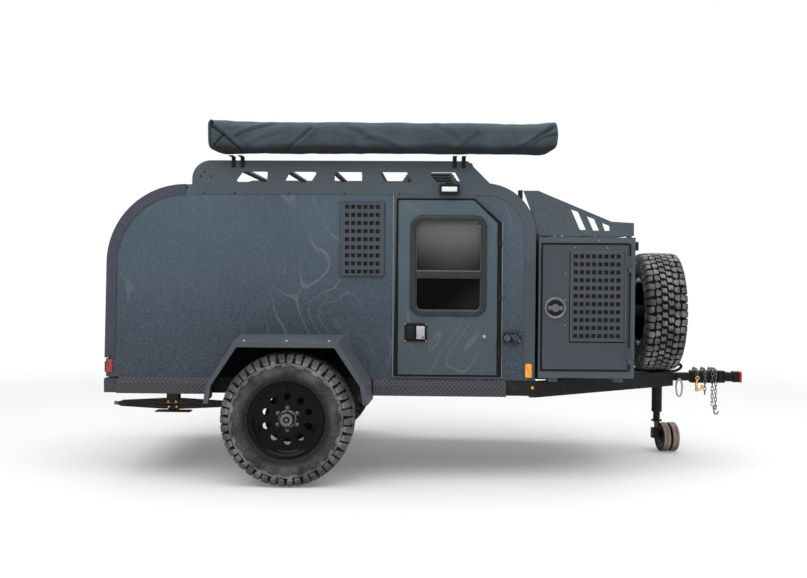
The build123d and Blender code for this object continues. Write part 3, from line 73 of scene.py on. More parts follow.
def new_node(tree, kind, sockets=None, output=0, **settings):
    """A node with its settings and sockets. Gives one of its outputs."""
    node = tree.nodes.new(kind)
    for key, value in settings.items():
        setattr(node, key, value)
    for key, value in (sockets or {}).items():
        feed(tree, node.inputs[key], value)
    return node.outputs[output]


class Level:
    """A number or colour that changes over a surface. Sums on it become Math nodes."""

    def __init__(self, finish, socket):
        self.finish = finish
        self.socket = socket

    def __add__(self, other):
        return self.finish.maths("ADD", self, other)

    def __sub__(self, other):
        return self.finish.maths("SUBTRACT", self, other)

    def __rsub__(self, other):
        return self.finish.maths("SUBTRACT", other, self)

    def __mul__(self, other):
        return self.finish.maths("MULTIPLY", self, other)

    __radd__ = __add__
    __rmul__ = __mul__


class Finish:
    """One material. node() makes every node in it."""

    def __init__(self, name, gloss=0.5):
        self.material = bpy.data.materials.new(name)
        self.material.use_nodes = True
        self.tree = self.material.node_tree
        self.shader = self.tree.nodes["Principled BSDF"]
        self.shader.inputs["Specular IOR Level"].default_value = gloss
        self.place = self.node("ShaderNodeTexCoord", output="Object")

    def node(self, kind, sockets=None, output=0, **settings):
        return Level(self, new_node(self.tree, kind, sockets, output, **settings))

    def maths(self, operation, first, second=0.0):
        return self.node("ShaderNodeMath", {0: first, 1: second}, operation=operation)

    def step(self, level, low, high):
        """0 below low, 1 above high, smooth between."""
        return self.node("ShaderNodeMapRange", {0: level, 1: low, 2: high}, interpolation_type="SMOOTHSTEP")

    def fall(self, level, low, high):
        """1 below low, 0 above high, smooth between."""
        return 1 - self.step(level, low, high)

    def mix(self, share, first, second):
        """A colour between two colours."""
        return self.node("ShaderNodeMix", {0: share, 6: first, 7: second}, 2, data_type="RGBA")

    def layered(self, tone, *layers):
        """A tone with more colours laid over it, each by its share."""
        for share, colour in layers:
            tone = self.mix(share, tone, colour)
        return tone

    def noise(self, scale, detail=2.0, distortion=0.0, rough=0.5):
        sockets = {"Vector": self.place, "Scale": scale, "Detail": detail, "Roughness": rough}
        sockets["Distortion"] = distortion
        return self.node("ShaderNodeTexNoise", sockets)

    def cloud(self):
        """Wide soft patches."""
        return self.step(self.noise(3.0, 3), 0.35, 0.65)

    def weave(self, place, scale, distortion):
        """Two crossed sets of bands, the higher one on top."""
        sockets = {"Vector": place, "Scale": scale, "Distortion": distortion}
        bands = []
        for way in "XZ":
            settings = {"wave_type": "BANDS", "bands_direction": way}
            bands.append(self.node("ShaderNodeTexWave", sockets, 1, **settings))
        return self.maths("MAXIMUM", *bands)

    def axis(self, letter):
        return self.node("ShaderNodeSeparateXYZ", {0: self.place}, "XYZ".index(letter))

    def surface(self, tone, roughness, relief=None, depth=0.0, **sockets):
        """The material with its colour, roughness, relief and other sockets; coat_weight is Coat Weight."""
        if relief:
            sockets["normal"] = self.node("ShaderNodeBump", {"Height": relief, "Distance": depth})
        for key, value in {"base_color": tone, "roughness": roughness, **sockets}.items():
            feed(self.tree, self.shader.inputs[key.replace("_", " ").title()], value)
        return self.material


def grey(level):
    return (level, level, level)


def shade(colour, times, more=0.0):
    """A colour made paler or darker by a factor and a lift."""
    return [times * level + more for level in colour]


def panel_paint(name, main, cool, painted_low_shade, strokes=0.24):
    """Pebbled slate panel with cloudy tone, thin pale flowing strokes and painted shade that darkens it
    towards the bottom.
    """
    finish = Finish(name, 0.3)
    tone = finish.mix(finish.step(finish.noise(1.1, 2, 0.6), 0.36, 0.64), cool, main)
    pebble = finish.noise(140, 3)
    ripple = finish.maths("PINGPONG", finish.noise(0.7, 0.6, 2.4) * 11, 0.5)
    present = finish.step(finish.noise(1.9, 1), 0.47, 0.62)
    tone = finish.layered(
        tone,
        # painted shade: the panel darkens towards the bottom, as if lit from above
        (finish.fall(finish.axis("Z"), 0.65, 1.72) * 0.9, painted_low_shade),
        (finish.step(pebble, 0.32, 0.72) * 0.5, shade(main, 1.5, 0.01)),
        (finish.fall(ripple, 0.006, 0.095) * present * strokes, (0.3, 0.34, 0.37)),
    )
    return finish.surface(tone, 0.52 + 0.1 * pebble, pebble, 0.0007)


def coat_tone(finish, main, other, speck, low=0.42, high=0.8, share=0.3):
    """Two cloudy colours under paler specks."""
    tone = finish.mix(finish.cloud(), main, other)
    return finish.mix(finish.step(speck, low, high) * share, tone, shade(main, 1.9, 0.012))


def powder_coat(name, main, other):
    """Fine textured coat on folded plate."""
    finish = Finish(name, 0.3)
    speck = finish.noise(150, 2)
    tone = coat_tone(finish, main, other, speck, 0.35, 0.75, 0.4)
    return finish.surface(tone, 0.5 + 0.12 * speck, speck, 0.0006)


def grille_coat(name, main, other, deep, face):
    """Powder coat whose pressed cells are shadowed black behind a given outboard face."""
    finish = Finish(name, 0.3)
    speck = finish.noise(420, 2)
    front = finish.step(finish.maths("ABSOLUTE", finish.axis("Y")), deep, face)
    tone = finish.mix(front, (0.003, 0.003, 0.004), coat_tone(finish, main, other, speck))
    return finish.surface(tone, 0.5 + 0.12 * speck, speck, 0.0006)


def frame_coat(name, main, other):
    """Coated frame round a door; the catch and hinge knuckles that stand on it are black."""
    finish = Finish(name, 0.3)
    speck = finish.noise(420, 2)
    catch = finish.step(finish.maths("ABSOLUTE", finish.axis("Y")), 0.7984, 0.7992)
    knuckles = finish.step(finish.axis("X") - axle_x, 1.343, 1.344)
    standing = finish.maths("MAXIMUM", catch, knuckles)
    tone = finish.mix(standing, coat_tone(finish, main, other, speck), (0.008, 0.008, 0.009))
    return finish.surface(tone, 0.5 + 0.12 * speck, speck, 0.0006)


def arch_paint(name, main, other):
    """Coated plate, near-black on the faces that look down as painted shade under the fender."""
    finish = Finish(name, 0.3)
    speck = finish.noise(140, 3)
    way = finish.node("ShaderNodeNewGeometry", output="Normal")
    # painted shade: faces that look down turn near-black
    under = finish.fall(finish.node("ShaderNodeSeparateXYZ", {0: way}, 2), -0.5, -0.2)
    tone = finish.mix(under, coat_tone(finish, main, other, speck), grey(0.005))
    return finish.surface(tone, 0.5 + 0.2 * speck, speck, 0.0008)


def tread_coat(name, main, other):
    """Coarse grip coat in a small woven diamond pattern."""
    finish = Finish(name, 0.25)
    leaning = {"Vector": finish.place, "Scale": (1, 0, 1), "Rotation": (0, radians(45), 0)}
    weave = finish.weave(finish.node("ShaderNodeMapping", leaning), 15.0, 0.6)
    speck = finish.noise(150, 3)
    tone = finish.mix(finish.step(weave, 0.55, 0.95) * 0.9, main, other)
    tone = finish.mix(finish.step(speck, 0.45, 0.8) * 0.35, tone, shade(main, 2.0, 0.02))
    return finish.surface(tone, 0.55 + 0.15 * speck, weave + 0.6 * speck, 0.0011)


def worn_steel(name, main, rust, amount):
    """Black chassis paint with dusty and browned patches."""
    finish = Finish(name, 0.15)
    patch = finish.step(finish.noise(9, 5, rough=0.65), 0.55 - 0.1 * amount, 0.72)
    grit = finish.noise(260, 3)
    tone = finish.mix(patch * amount, main, rust)
    tone = finish.mix(finish.step(grit, 0.55, 0.8) * 0.2, tone, shade(main, 2.4, 0.01))
    return finish.surface(tone, 0.45 + 0.25 * patch, grit, 0.0003)


def bare_metal(name, main, roughness):
    """Plated or brushed metal with faint stains."""
    finish = Finish(name)
    stain = finish.noise(55, 4)
    tone = finish.mix(finish.step(stain, 0.45, 0.75) * 0.45, main, shade(main, 0.45))
    return finish.surface(tone, roughness + 0.2 * stain, finish.noise(720, 2), 0.00006, metallic=1.0)


def gloss_black(name):
    """Black enamel that still shines under road dust."""
    finish = Finish(name, 0.06)
    dust = finish.step(finish.noise(14, 4), 0.5, 0.75)
    tone = finish.mix(dust * 0.2, (0.0006, 0.0006, 0.0007), (0.006, 0.006, 0.0057))
    return finish.surface(tone, 0.11 + 0.22 * dust, coat_weight=0.12, coat_roughness=0.06)


lug_pairs = 23


def tyre_rubber(name, letter, centre, middle):
    """Dusty rubber with painted shade, black in the grooves and creases and darker next to the rim: found
    from the distance to the axle and along it.
    """
    finish = Finish(name, 0.12)
    across = finish.axis(letter) - centre[0]
    height = finish.axis("Z") - centre[1]
    radius = finish.maths("SQRT", across * across + height * height)
    beside = finish.maths("ABSOLUTE", finish.axis("Y" if letter == "X" else "X"))
    along = finish.maths("ABSOLUTE", beside - middle)
    on_crown = finish.step(radius, 0.384, 0.392) * finish.fall(radius, 0.4035, 0.4125)
    on_crown = on_crown * finish.fall(along, 0.112, 0.124)
    past_shoulder = along - (0.2564 - 0.34 * radius)
    on_shoulder = finish.step(radius, 0.352, 0.36) * finish.fall(past_shoulder, -0.0005, 0.0035)
    on_shoulder = on_shoulder * finish.fall(radius, 0.386, 0.394)
    groove_shade = finish.maths("MAXIMUM", on_crown, on_shoulder)
    dust = finish.step(finish.noise(9, 5, rough=0.66), 0.36, 0.66)
    grit = finish.noise(300, 3)
    around = finish.maths("ARCTAN2", across, height) * (lug_pairs / (2 * pi))
    stepped = finish.step(finish.maths("PINGPONG", around, 0.5), 0.2, 0.26)
    past_edge = radius - (0.331 + 0.011 * stepped)
    # painted shade: a dark line in the crease at the step of the sidewall ledges
    crease_shade = finish.fall(finish.maths("ABSOLUTE", past_edge + 0.0012), 0.001, 0.0024)
    # darker high on the shoulder's side faces
    high_shoulder = finish.step(radius, 0.366, 0.382) * finish.step(along, 0.112, 0.122)
    wall = finish.mix(dust, (0.036, 0.036, 0.035), (0.11, 0.109, 0.106))
    edge = finish.mix(dust, (0.09, 0.09, 0.088), (0.27, 0.267, 0.26))
    tone = finish.layered(
        finish.mix(finish.step(past_edge, -0.0008, 0.0008), wall, edge),
        (high_shoulder * 0.62, (0.045, 0.045, 0.044)),
        (crease_shade * 0.8, grey(0.006)),
        # painted shade: the sidewall darkens next to the rim
        (finish.fall(radius, 0.258, 0.306) * 0.85, grey(0.012)),
        (finish.step(grit, 0.5, 0.8) * 0.35, (0.21, 0.21, 0.2)),
        # painted shade: the grooves are near-black
        (groove_shade * 0.97, grey(0.004)),
    )
    return finish.surface(tone, 0.72 + 0.2 * dust, grit, 0.0006)


def hub_rubber(name):
    """Pinkish tan rubber of the jack wheels, darker in blotches, with painted shade towards the bottom where
    the wheels meet the floor.
    """
    finish = Finish(name, 0.15)
    blotch = finish.step(finish.noise(22, 4), 0.38, 0.66)
    grit = finish.noise(380, 3)
    tone = finish.layered(
        finish.mix(blotch, (0.52, 0.405, 0.35), (0.68, 0.545, 0.46)),
        # painted shade: darker low down, near the floor
        (finish.fall(finish.axis("Z"), 0.01, 0.09) * 0.7, (0.105, 0.045, 0.04)),
        (finish.step(grit, 0.5, 0.8) * 0.3, (0.09, 0.065, 0.055)),
    )
    return finish.surface(tone, 0.75 + 0.15 * blotch, grit, 0.0005)


def moulded(name, main, roughness=0.45, grain=500):
    """Moulded plastic or rubber with a fine grain."""
    finish = Finish(name, 0.2)
    fine = finish.noise(grain, 2)
    patches = finish.step(finish.noise(12, 3), 0.45, 0.75)
    tone = finish.mix(patches * 0.4, main, shade(main, 1.6, 0.006))
    return finish.surface(tone, roughness + 0.12 * fine, fine, 0.0002)


def lens(name, main, deep, painted_light=0.0):
    """Reflector or lamp lens with rows of small prisms, and an optional painted glow from emission."""
    finish = Finish(name)
    prisms = finish.node("ShaderNodeTexVoronoi", {"Vector": finish.place, "Scale": 240})
    tone = finish.mix(finish.step(prisms, 0.1, 0.7), main, deep)
    # painted light: the emission makes the lens glow
    light = {"emission_color": tone, "emission_strength": painted_light} if painted_light else {}
    return finish.surface(tone, 0.12 + 0.1 * prisms, prisms, 0.0006, coat_weight=1.0, **light)


def window_tint(name):
    """Dark acrylic pane: a grey blind shows through the upper pane, paler towards its top and middle as a
    painted sheen; the lower pane is black, with a painted reflection paler towards its front lower corner.
    """
    finish = Finish(name, 0.06)
    height = finish.axis("Z")
    ahead = finish.axis("X") - axle_x
    middle = finish.fall(finish.maths("ABSOLUTE", ahead - 1.03), 0.02, 0.24)
    # painted sheen: the blind is paler towards the top and the middle of the pane
    painted_light = finish.step(height, 1.36, 1.6) * 0.75 + 0.2 * middle
    blind = finish.mix(painted_light, grey(0.02), (0.15, 0.15, 0.147))
    # painted reflection: the black lower pane is paler towards its front lower corner
    dark = finish.mix(finish.step(ahead * 0.8 - height, -0.4, -0.12), grey(0.0012), grey(0.016))
    tone = finish.mix(finish.step(height, 1.31, 1.33), dark, blind)
    return finish.surface(tone, 0.09 + 0.06 * finish.noise(16, 4))


def bag_cloth(name):
    """Coated canvas: plain weave, dusty folds and painted shade on the underside."""
    finish = Finish(name, 0.15)
    weave = finish.weave(finish.place, 210.0, 0.8)
    dust = finish.step(finish.noise(6, 4, 0.5), 0.38, 0.7)
    # painted shade: the cloth turns near-black towards the bottom of the bag
    painted_underside_shade = finish.fall(finish.axis("Z") + 0.04 * finish.noise(7, 2), 2.118, 2.166)
    tone = finish.layered(
        finish.mix(dust, (0.035, 0.054, 0.065), (0.056, 0.081, 0.094)),
        (painted_underside_shade * 0.94, (0.005, 0.005, 0.006)),
        (weave * 0.16, (0.15, 0.17, 0.18)),
    )
    return finish.surface(tone, 0.72 + 0.15 * dust, weave, 0.0002)


slate = panel_paint("slate_panel", (0.063, 0.094, 0.122), (0.052, 0.076, 0.1), (0.026, 0.03, 0.043))
slate_door = panel_paint(
    "slate_door", (0.072, 0.106, 0.127), (0.06, 0.087, 0.108), (0.042, 0.054, 0.068), 0.16
)
box_frame = powder_coat("box_frame", (0.069, 0.088, 0.106), (0.064, 0.077, 0.093))
strip_coat = powder_coat("front_strip", (0.052, 0.066, 0.078), (0.047, 0.058, 0.069))
plum = powder_coat("trim_plate", (0.04, 0.045, 0.066), (0.047, 0.054, 0.074))
rack_coat = powder_coat("rack_plate", (0.061, 0.082, 0.094), (0.058, 0.07, 0.084))
arch_coat = arch_paint("fender_plate", (0.066, 0.074, 0.09), (0.078, 0.092, 0.106))
door_frame_coat = frame_coat("door_frame", (0.06, 0.072, 0.084), (0.07, 0.084, 0.096))
grip = tread_coat("sill_grip", (0.034, 0.032, 0.04), (0.082, 0.081, 0.091))
vent_coat = grille_coat("vent_plate", (0.058, 0.07, 0.086), (0.052, 0.058, 0.074), 0.7962, 0.802)
grille_plate = grille_coat("grille_plate", (0.058, 0.065, 0.077), (0.053, 0.059, 0.071), 0.7822, 0.7872)
chassis_black = worn_steel("chassis_paint", (0.016, 0.014, 0.015), (0.06, 0.045, 0.04), 0.5)
drawbar_black = worn_steel("drawbar_paint", (0.011, 0.0095, 0.01), (0.05, 0.039, 0.035), 0.5)
leg_paint = worn_steel("leg_paint", (0.018, 0.014, 0.013), (0.075, 0.045, 0.035), 0.6)
black_parts = moulded("black_fittings", (0.007, 0.007, 0.0075))
# black rubber for seals and edges, also used for painted shade: the door seal's wide upright sides and the
# strips beside the box grille
seal_rubber = moulded("seal_rubber", (0.0025, 0.0025, 0.003), 0.7)
# near-black finish for painted shade: the sheet inside each wheel arch and the drum behind each rim
stone_guard = moulded("stone_guard", (0.0015, 0.0015, 0.0015), 0.8)
rim_paint = gloss_black("wheel_paint")
rubber = tyre_rubber("tyre_rubber", "X", (axle_x, wheel_z), wheel_track_half)
spare_rubber = tyre_rubber("spare_rubber", "Y", (0.0, spare_z), axle_x + spare_x)
silver = bare_metal("bright_metal", (0.42, 0.42, 0.43), 0.34)
hub_metal = bare_metal("hub_metal", (0.15, 0.15, 0.15), 0.36)
latch_metal = bare_metal("latch_metal", (0.17, 0.175, 0.18), 0.3)
steel = bare_metal("chain_metal", (0.17, 0.165, 0.16), 0.38)
zinc = bare_metal("yellow_zinc", (0.83, 0.52, 0.16), 0.3)
red_lens = lens("red_lens", (0.62, 0.012, 0.01), (0.25, 0.004, 0.004))
# the amber and clear lenses carry a painted glow; the amber one is also on the reflectors
amber_lens = lens("amber_lens", (1.0, 0.44, 0.01), (0.82, 0.26, 0.004), 0.25)
clear_lens = lens("clear_lens", (0.86, 0.87, 0.88), (0.66, 0.68, 0.7), 0.25)
tint = window_tint("window_tint")
canvas = bag_cloth("bag_canvas")
webbing = moulded("black_webbing", (0.012, 0.012, 0.013), 0.8, 900)
laminate = moulded("galley_laminate", (0.24, 0.2, 0.15), 0.5, 60)
jack_rubber = hub_rubber("jack_rubber")
# dark tread base between the jack wheels' ribs: painted shade in the grooves
jack_groove = moulded("jack_groove", (0.05, 0.034, 0.029), 0.8)
red_plastic = moulded("red_plastic", (0.45, 0.012, 0.02), 0.35)
bronze = moulded("window_bronze", (0.032, 0.034, 0.037), 0.3)

# The CAD nodes of each finish, a left and right pair without its side. All others are black fittings.
node_finishes = {
    slate: ("side_walls", "body_skins", "hatch_skin"),
    slate_door: ("cabin_door",),
    box_frame: ("box_body",),
    grille_plate: ("box_door",),
    plum: ("hatch_bands",),
    strip_coat: ("front_trims",),
    rack_coat: ("rack_plates", "box_rack"),
    arch_coat: ("fenders",),
    vent_coat: ("wall_vents",),
    door_frame_coat: ("door_surrounds",),
    grip: ("sill_guards", "rear_bumper"),
    chassis_black: ("side_rails", "cross_members", "axle", "spare_carrier", "jack_outer", "caster_fork"),
    drawbar_black: ("drawbar_arms", "drawbar_tube", "coupler_swivel", "tow_bar"),
    rim_paint: ("rim", "spare_rim"),
    tint: ("window_glass",),
    leg_paint: ("jack_leg",),
    steel: ("safety_chains",),
    laminate: ("floor", "galley"),
}
finish_of = {kind: finish for finish, kinds in node_finishes.items() for kind in kinds}
for name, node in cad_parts.items():
    chosen = finish_of.get(name.removesuffix("_right").removesuffix("_left"), black_parts)
    if name.startswith("stabiliser"):
        chosen = steel if "screw" in name else leg_paint
    if not node.material_slots:
        node.data.materials.append(chosen)
    for material_slot in node.material_slots:
        material_slot.material = chosen

# Shapes


def added(name, data):
    """A new object in the scene."""
    piece = bpy.data.objects.new(name, data)
    bpy.context.scene.collection.objects.link(piece)
    return piece


def built(name, points, faces, finish):
    """An object from its points and faces, with doubles merged and faces outwards."""
    mesh = bpy.data.meshes.new(name)
    mesh.from_pydata([tuple(point) for point in points], [], faces)
    body = bmesh.new()
    body.from_mesh(mesh)
    bmesh.ops.remove_doubles(body, verts=body.verts, dist=0.00001)
    bmesh.ops.recalc_face_normals(body, faces=body.faces)
    body.to_mesh(mesh)
    body.free()
    mesh.materials.append(finish)
    return added(name, mesh)


def skinned(name, rings, finish, round_ring=True, closed=False, capped=False):
    """Quads between neighbouring rings of points."""
    width = len(rings[0])
    points = [point for ring in rings for point in ring]
    faces = []
    ring_count = len(rings) if closed else len(rings) - 1
    edge_count = width if round_ring else width - 1
    for ring in range(ring_count):
        here = ring * width
        there = (ring + 1) % len(rings) * width
        for edge in range(edge_count):
            after = (edge + 1) % width
            faces.append((here + edge, here + after, there + after, there + edge))
    if capped:
        faces.append(tuple(range(width)))
        faces.append(tuple(range(len(points) - width, len(points))))
    return built(name, points, faces, finish)


def settled(piece, matrix):
    """The piece's place goes into its mesh."""
    piece.data.transform(matrix)
    if matrix.determinant() < 0:
        piece.data.flip_normals()
    return piece


def smooth(piece, angle=35):
    """Smooth shading with sharp edges kept over the angle."""
    mesh = piece.data
    mesh.shade_smooth()
    mesh.set_sharp_from_angle(angle=radians(angle))
    return piece


def bevelled(piece, width, segments=2):
    """Rounded edges, applied."""
    modifier = piece.modifiers.new("edges", "BEVEL")
    modifier.width = width
    modifier.segments = segments
    modifier.limit_method = "ANGLE"
    modifier.angle_limit = radians(30)
    return applied(piece)


def evaluated(piece):
    """A new mesh of the piece as its modifiers or curve settings shape it."""
    bpy.context.view_layer.update()
    graph = bpy.context.evaluated_depsgraph_get()
    return bpy.data.meshes.new_from_object(piece.evaluated_get(graph), depsgraph=graph)


def applied(piece):
    """The piece with its modifiers made into mesh."""
    mesh = evaluated(piece)
    piece.modifiers.clear()
    old = piece.data
    piece.data = mesh
    mesh.name = piece.name
    bpy.data.meshes.remove(old)
    return piece


def joined(name, pieces):
    """One object from several with one finish each."""
    finishes = []
    body = bmesh.new()
    for piece in pieces:
        for finish in piece.data.materials:
            if finish not in finishes:
                finishes.append(finish)
        start = len(body.faces)
        body.from_mesh(piece.data)
        body.faces.ensure_lookup_table()
        own = list(piece.data.materials)
        for face in body.faces[start:]:
            face.material_index = finishes.index(own[min(face.material_index, len(own) - 1)])
    mesh = bpy.data.meshes.new(name)
    body.to_mesh(mesh)
    body.free()
    for finish in finishes:
        mesh.materials.append(finish)
    for piece in pieces:
        bpy.data.objects.remove(piece)
    return added(name, mesh)


def on_both_sides(piece, name, body="trailer"):
    """Rides a right-hand piece and its mirror image, on the trailer or on the bodies of the two sides."""
    piece.name = f"{name}_right"
    twin = settled(added(f"{name}_left", piece.data.copy()), Matrix.Scale(-1, 4, (0, 1, 0)))
    for half, side in ((piece, "right"), (twin, "left")):
        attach(half, body if body == "trailer" else f"{body}_{side}")
    return piece, twin


def slab(name, low, high, finish, edge):
    """A rounded block between two corners."""
    corners = [(x, y, z) for x in (low[0], high[0]) for y in (low[1], high[1]) for z in (low[2], high[2])]
    faces = [(0, 1, 3, 2), (4, 6, 7, 5), (0, 4, 5, 1), (2, 3, 7, 6), (0, 2, 6, 4), (1, 5, 7, 3)]
    return smooth(bevelled(built(name, corners, faces, finish), edge))


def side_block(name, ahead, out, height, finish, edge=0.002):
    """A rounded block from its ends ahead, outboard and up."""
    low = at(min(ahead), max(out), min(height))
    high = at(max(ahead), min(out), max(height))
    return slab(name, low, high, finish, edge)


def lathed(name, profile, finish, steps=64, closed=False):
    """A profile of (along, radius) turned round the local Y axis; a closed one meets its own start."""
    rings = []
    for step in range(steps):
        angle = 2 * pi * step / steps
        ring = [Vector((radius * sin(angle), along, radius * cos(angle))) for along, radius in profile]
        rings.append(ring)
    return smooth(skinned(name, rings, finish, round_ring=closed, closed=True))


def facing_out(place):
    """Turns local Y to point outboard on the right, at a place."""
    return Matrix.Translation(place) @ Matrix.Rotation(pi, 4, "Z")


def knob(profile, finish, steps, ahead, out, height):
    """A small lathed part that points outboard from a place on the right."""
    return settled(lathed("knob", profile, finish, steps), facing_out(at(ahead, out, height)))


def prism(name, outline, out, depth, finish, edge=0.0):
    """A side-on outline of (ahead, height) points, from its outboard face inwards."""
    near = [at(ahead, out, height) for ahead, height in outline]
    far = [at(ahead, out - depth, height) for ahead, height in outline]
    piece = skinned(name, [near, far], finish, capped=True)
    if edge:
        bevelled(piece, edge)
        smooth(piece)
    return piece


def rounded_path(low, high, corner, steps=10):
    """Points and outward directions round an upright rectangle with round corners."""
    path = []
    for quarter in range(4):
        centre_x = high[0] - corner if quarter in (0, 3) else low[0] + corner
        centre_z = high[1] - corner if quarter in (0, 1) else low[1] + corner
        for step in range(steps + 1):
            turn = radians(90 * quarter + 90 * step / steps)
            across, up = cos(turn), sin(turn)
            path.append(((centre_x + corner * across, centre_z + corner * up), (across, up)))
    return path


def framed(name, path, section, out, finish):
    """A section of (inwards, outboard) points carried round a path on the side."""
    rings = []
    for (x, z), (dx, dz) in path:
        rings.append([at(x - inward * dx, out + rise, z - inward * dz) for inward, rise in section])
    return smooth(skinned(name, rings, finish, closed=True))


def curved(name, points, kind="NURBS"):
    """A curve object along points."""
    curve = bpy.data.curves.new(name, "CURVE")
    curve.dimensions = "3D"
    spline = curve.splines.new(kind)
    spline.points.add(len(points) - 1)
    for point, place in zip(spline.points, points):
        point.co = (*place, 1.0)
    if kind == "NURBS":
        spline.order_u = 3
        spline.use_endpoint_u = True
    return added(name, curve)


def tube(name, points, radius, finish, kind="NURBS", sides=12):
    """A round rod along points, with closed ends."""
    holder = curved(name, points, kind)
    curve = holder.data
    curve.bevel_depth = radius
    curve.bevel_resolution = sides // 4
    curve.use_fill_caps = True
    if kind == "NURBS":
        curve.splines[0].resolution_u = 8
    mesh = evaluated(holder)
    bpy.data.objects.remove(holder)
    mesh.materials.clear()
    mesh.materials.append(finish)
    return smooth(added(name, mesh), 50)


# Repeats


class Repeat:
    """A Geometry Nodes tree that copies a part, with named inputs."""

    def __init__(self, name, **inputs):
        self.tree = bpy.data.node_groups.new(name, "GeometryNodeTree")
        face = self.tree.interface
        for label, kind in {"Part": "Object", "Finish": "Material", **inputs}.items():
            face.new_socket(label, in_out="INPUT", socket_type=f"NodeSocket{kind}")
        face.new_socket("Geometry", in_out="OUTPUT", socket_type="NodeSocketGeometry")
        self.entry = self.tree.nodes.new("NodeGroupInput").outputs
        self.exit = self.tree.nodes.new("NodeGroupOutput").inputs[0]

    def node(self, kind, sockets=None, output=0, **settings):
        return new_node(self.tree, kind, sockets, output, **settings)

    def maths(self, operation, first, second):
        return self.node("ShaderNodeMath", {0: first, 1: second}, operation=operation)

    def vector(self, operation, first, second, socket=1):
        return self.node("ShaderNodeVectorMath", {0: first, socket: second}, operation=operation)

    def given(self, label):
        """The shape of an object that is handed in."""
        sockets = {"Object": self.entry[label]}
        return self.node("GeometryNodeObjectInfo", sockets, "Geometry", transform_space="ORIGINAL")

    def placed(self, points, rotation):
        """The part on every point."""
        sockets = {"Points": points, "Instance": self.given("Part"), "Rotation": rotation}
        return self.node("GeometryNodeInstanceOnPoints", sockets)

    def close(self, geometry):
        """Makes the copies real and gives them their finish."""
        real = self.node("GeometryNodeRealizeInstances", {"Geometry": geometry})
        sockets = {"Geometry": real, "Material": self.entry["Finish"]}
        self.tree.links.new(self.node("GeometryNodeSetMaterial", sockets), self.exit)
        return self

    def grown(self, name, part, **values):
        """A plain mesh object made by this tree; the part it repeats is used up."""
        values.update({"Part": part, "Finish": part.data.materials[0]})
        holder = added(name, bpy.data.meshes.new(name))
        modifier = holder.modifiers.new("repeat", "NODES")
        modifier.node_group = self.tree
        for item in self.tree.interface.items_tree:
            if item.in_out == "INPUT" and item.name in values:
                modifier[item.identifier] = values[item.name]
        applied(holder)
        bpy.data.objects.remove(part)
        return holder


def ring_tree():
    """Parts turned round the local Y axis, then carried to their wheel."""
    repeat = Repeat("parts_round_a_wheel", Count="Int", Phase="Float", Place="Vector", Turn="Vector")
    points = repeat.node("GeometryNodeMeshLine", {"Count": repeat.entry["Count"], "Offset": (0, 0, 0)})
    share = repeat.maths("DIVIDE", repeat.node("GeometryNodeInputIndex"), repeat.entry["Count"])
    angle = repeat.maths("ADD", repeat.maths("MULTIPLY", share, 2 * pi), repeat.entry["Phase"])
    ring = repeat.placed(points, repeat.node("ShaderNodeCombineXYZ", {"Y": angle}))
    sockets = {"Geometry": ring, "Translation": repeat.entry["Place"], "Rotation": repeat.entry["Turn"]}
    return repeat.close(repeat.node("GeometryNodeTransform", sockets))


def row_tree():
    """Parts in even rows."""
    vectors = {label: "Vector" for label in ("Start", "Step", "Rise", "Turn")}
    repeat = Repeat("parts_in_rows", Count="Int", Rows="Int", **vectors)
    total = repeat.maths("MULTIPLY", repeat.entry["Count"], repeat.entry["Rows"])
    points = repeat.node("GeometryNodeMeshLine", {"Count": total, "Offset": (0, 0, 0)})
    index = repeat.node("GeometryNodeInputIndex")
    column = repeat.maths("MODULO", index, repeat.entry["Count"])
    row = repeat.maths("FLOOR", repeat.maths("DIVIDE", index, repeat.entry["Count"]), 0.0)
    along = repeat.vector("SCALE", repeat.entry["Step"], column, "Scale")
    up = repeat.vector("SCALE", repeat.entry["Rise"], row, "Scale")
    spot = repeat.vector("ADD", repeat.vector("ADD", along, up), repeat.entry["Start"])
    moved = repeat.node("GeometryNodeSetPosition", {"Geometry": points, "Position": spot})
    return repeat.close(repeat.placed(moved, repeat.entry["Turn"]))


def strand_tree():
    """Links along a path, each turned a quarter from the last."""
    repeat = Repeat("links_on_a_path", Path="Object", Spacing="Float", Quarter="Float")
    sockets = {"Curve": repeat.given("Path"), "Length": repeat.entry["Spacing"]}
    points = repeat.node("GeometryNodeCurveToPoints", sockets, "Points", mode="LENGTH")
    roll = repeat.maths("MULTIPLY", repeat.node("GeometryNodeInputIndex"), repeat.entry["Quarter"])
    twist = repeat.node("ShaderNodeCombineXYZ", {"Z": roll})
    sockets = {"Rotation": points.node.outputs["Rotation"], "Rotate By": twist}
    turn = repeat.node("FunctionNodeRotateRotation", sockets, rotation_space="LOCAL")
    return repeat.close(repeat.placed(points, turn))


round_wheel = ring_tree()
in_rows = row_tree()
on_path = strand_tree()


def in_ring(part, count, phase, place, turn=0.0):
    """Parts round a wheel at a place; turn is how far its axle is from Y."""
    return round_wheel.grown("ring", part, Count=count, Phase=phase, Place=place, Turn=(0, 0, turn))


def in_row(name, part, start, count=1, step=(0, 0, 0), rows=1, rise=(0, 0, 0), turn=(0, 0, pi)):
    """Parts in even rows from a start."""
    return in_rows.grown(name, part, Count=count, Rows=rows, Start=start, Step=step, Rise=rise, Turn=turn)


def screw_head(finish, radius, height):
    """A domed head with a drive recess, its local Y pointing out."""
    profile = (
        (-0.001, radius), (0.35 * height, radius), (0.8 * height, 0.8 * radius), (height, 0.5 * radius),
        (0.7 * height, 0.42 * radius), (0.6 * height, 0.0001),
    )
    return lathed("screw", profile, finish, 10)


def screw_row(name, start, finish, radius, height, count=1, step=(0, 0, 0), body="trailer", **more):
    """Rows of screws on the right-hand side and their mirror image."""
    row = in_row(name, screw_head(finish, radius, height), start, count, step, **more)
    on_both_sides(smooth(row), name, body)


# Tyres and wheels

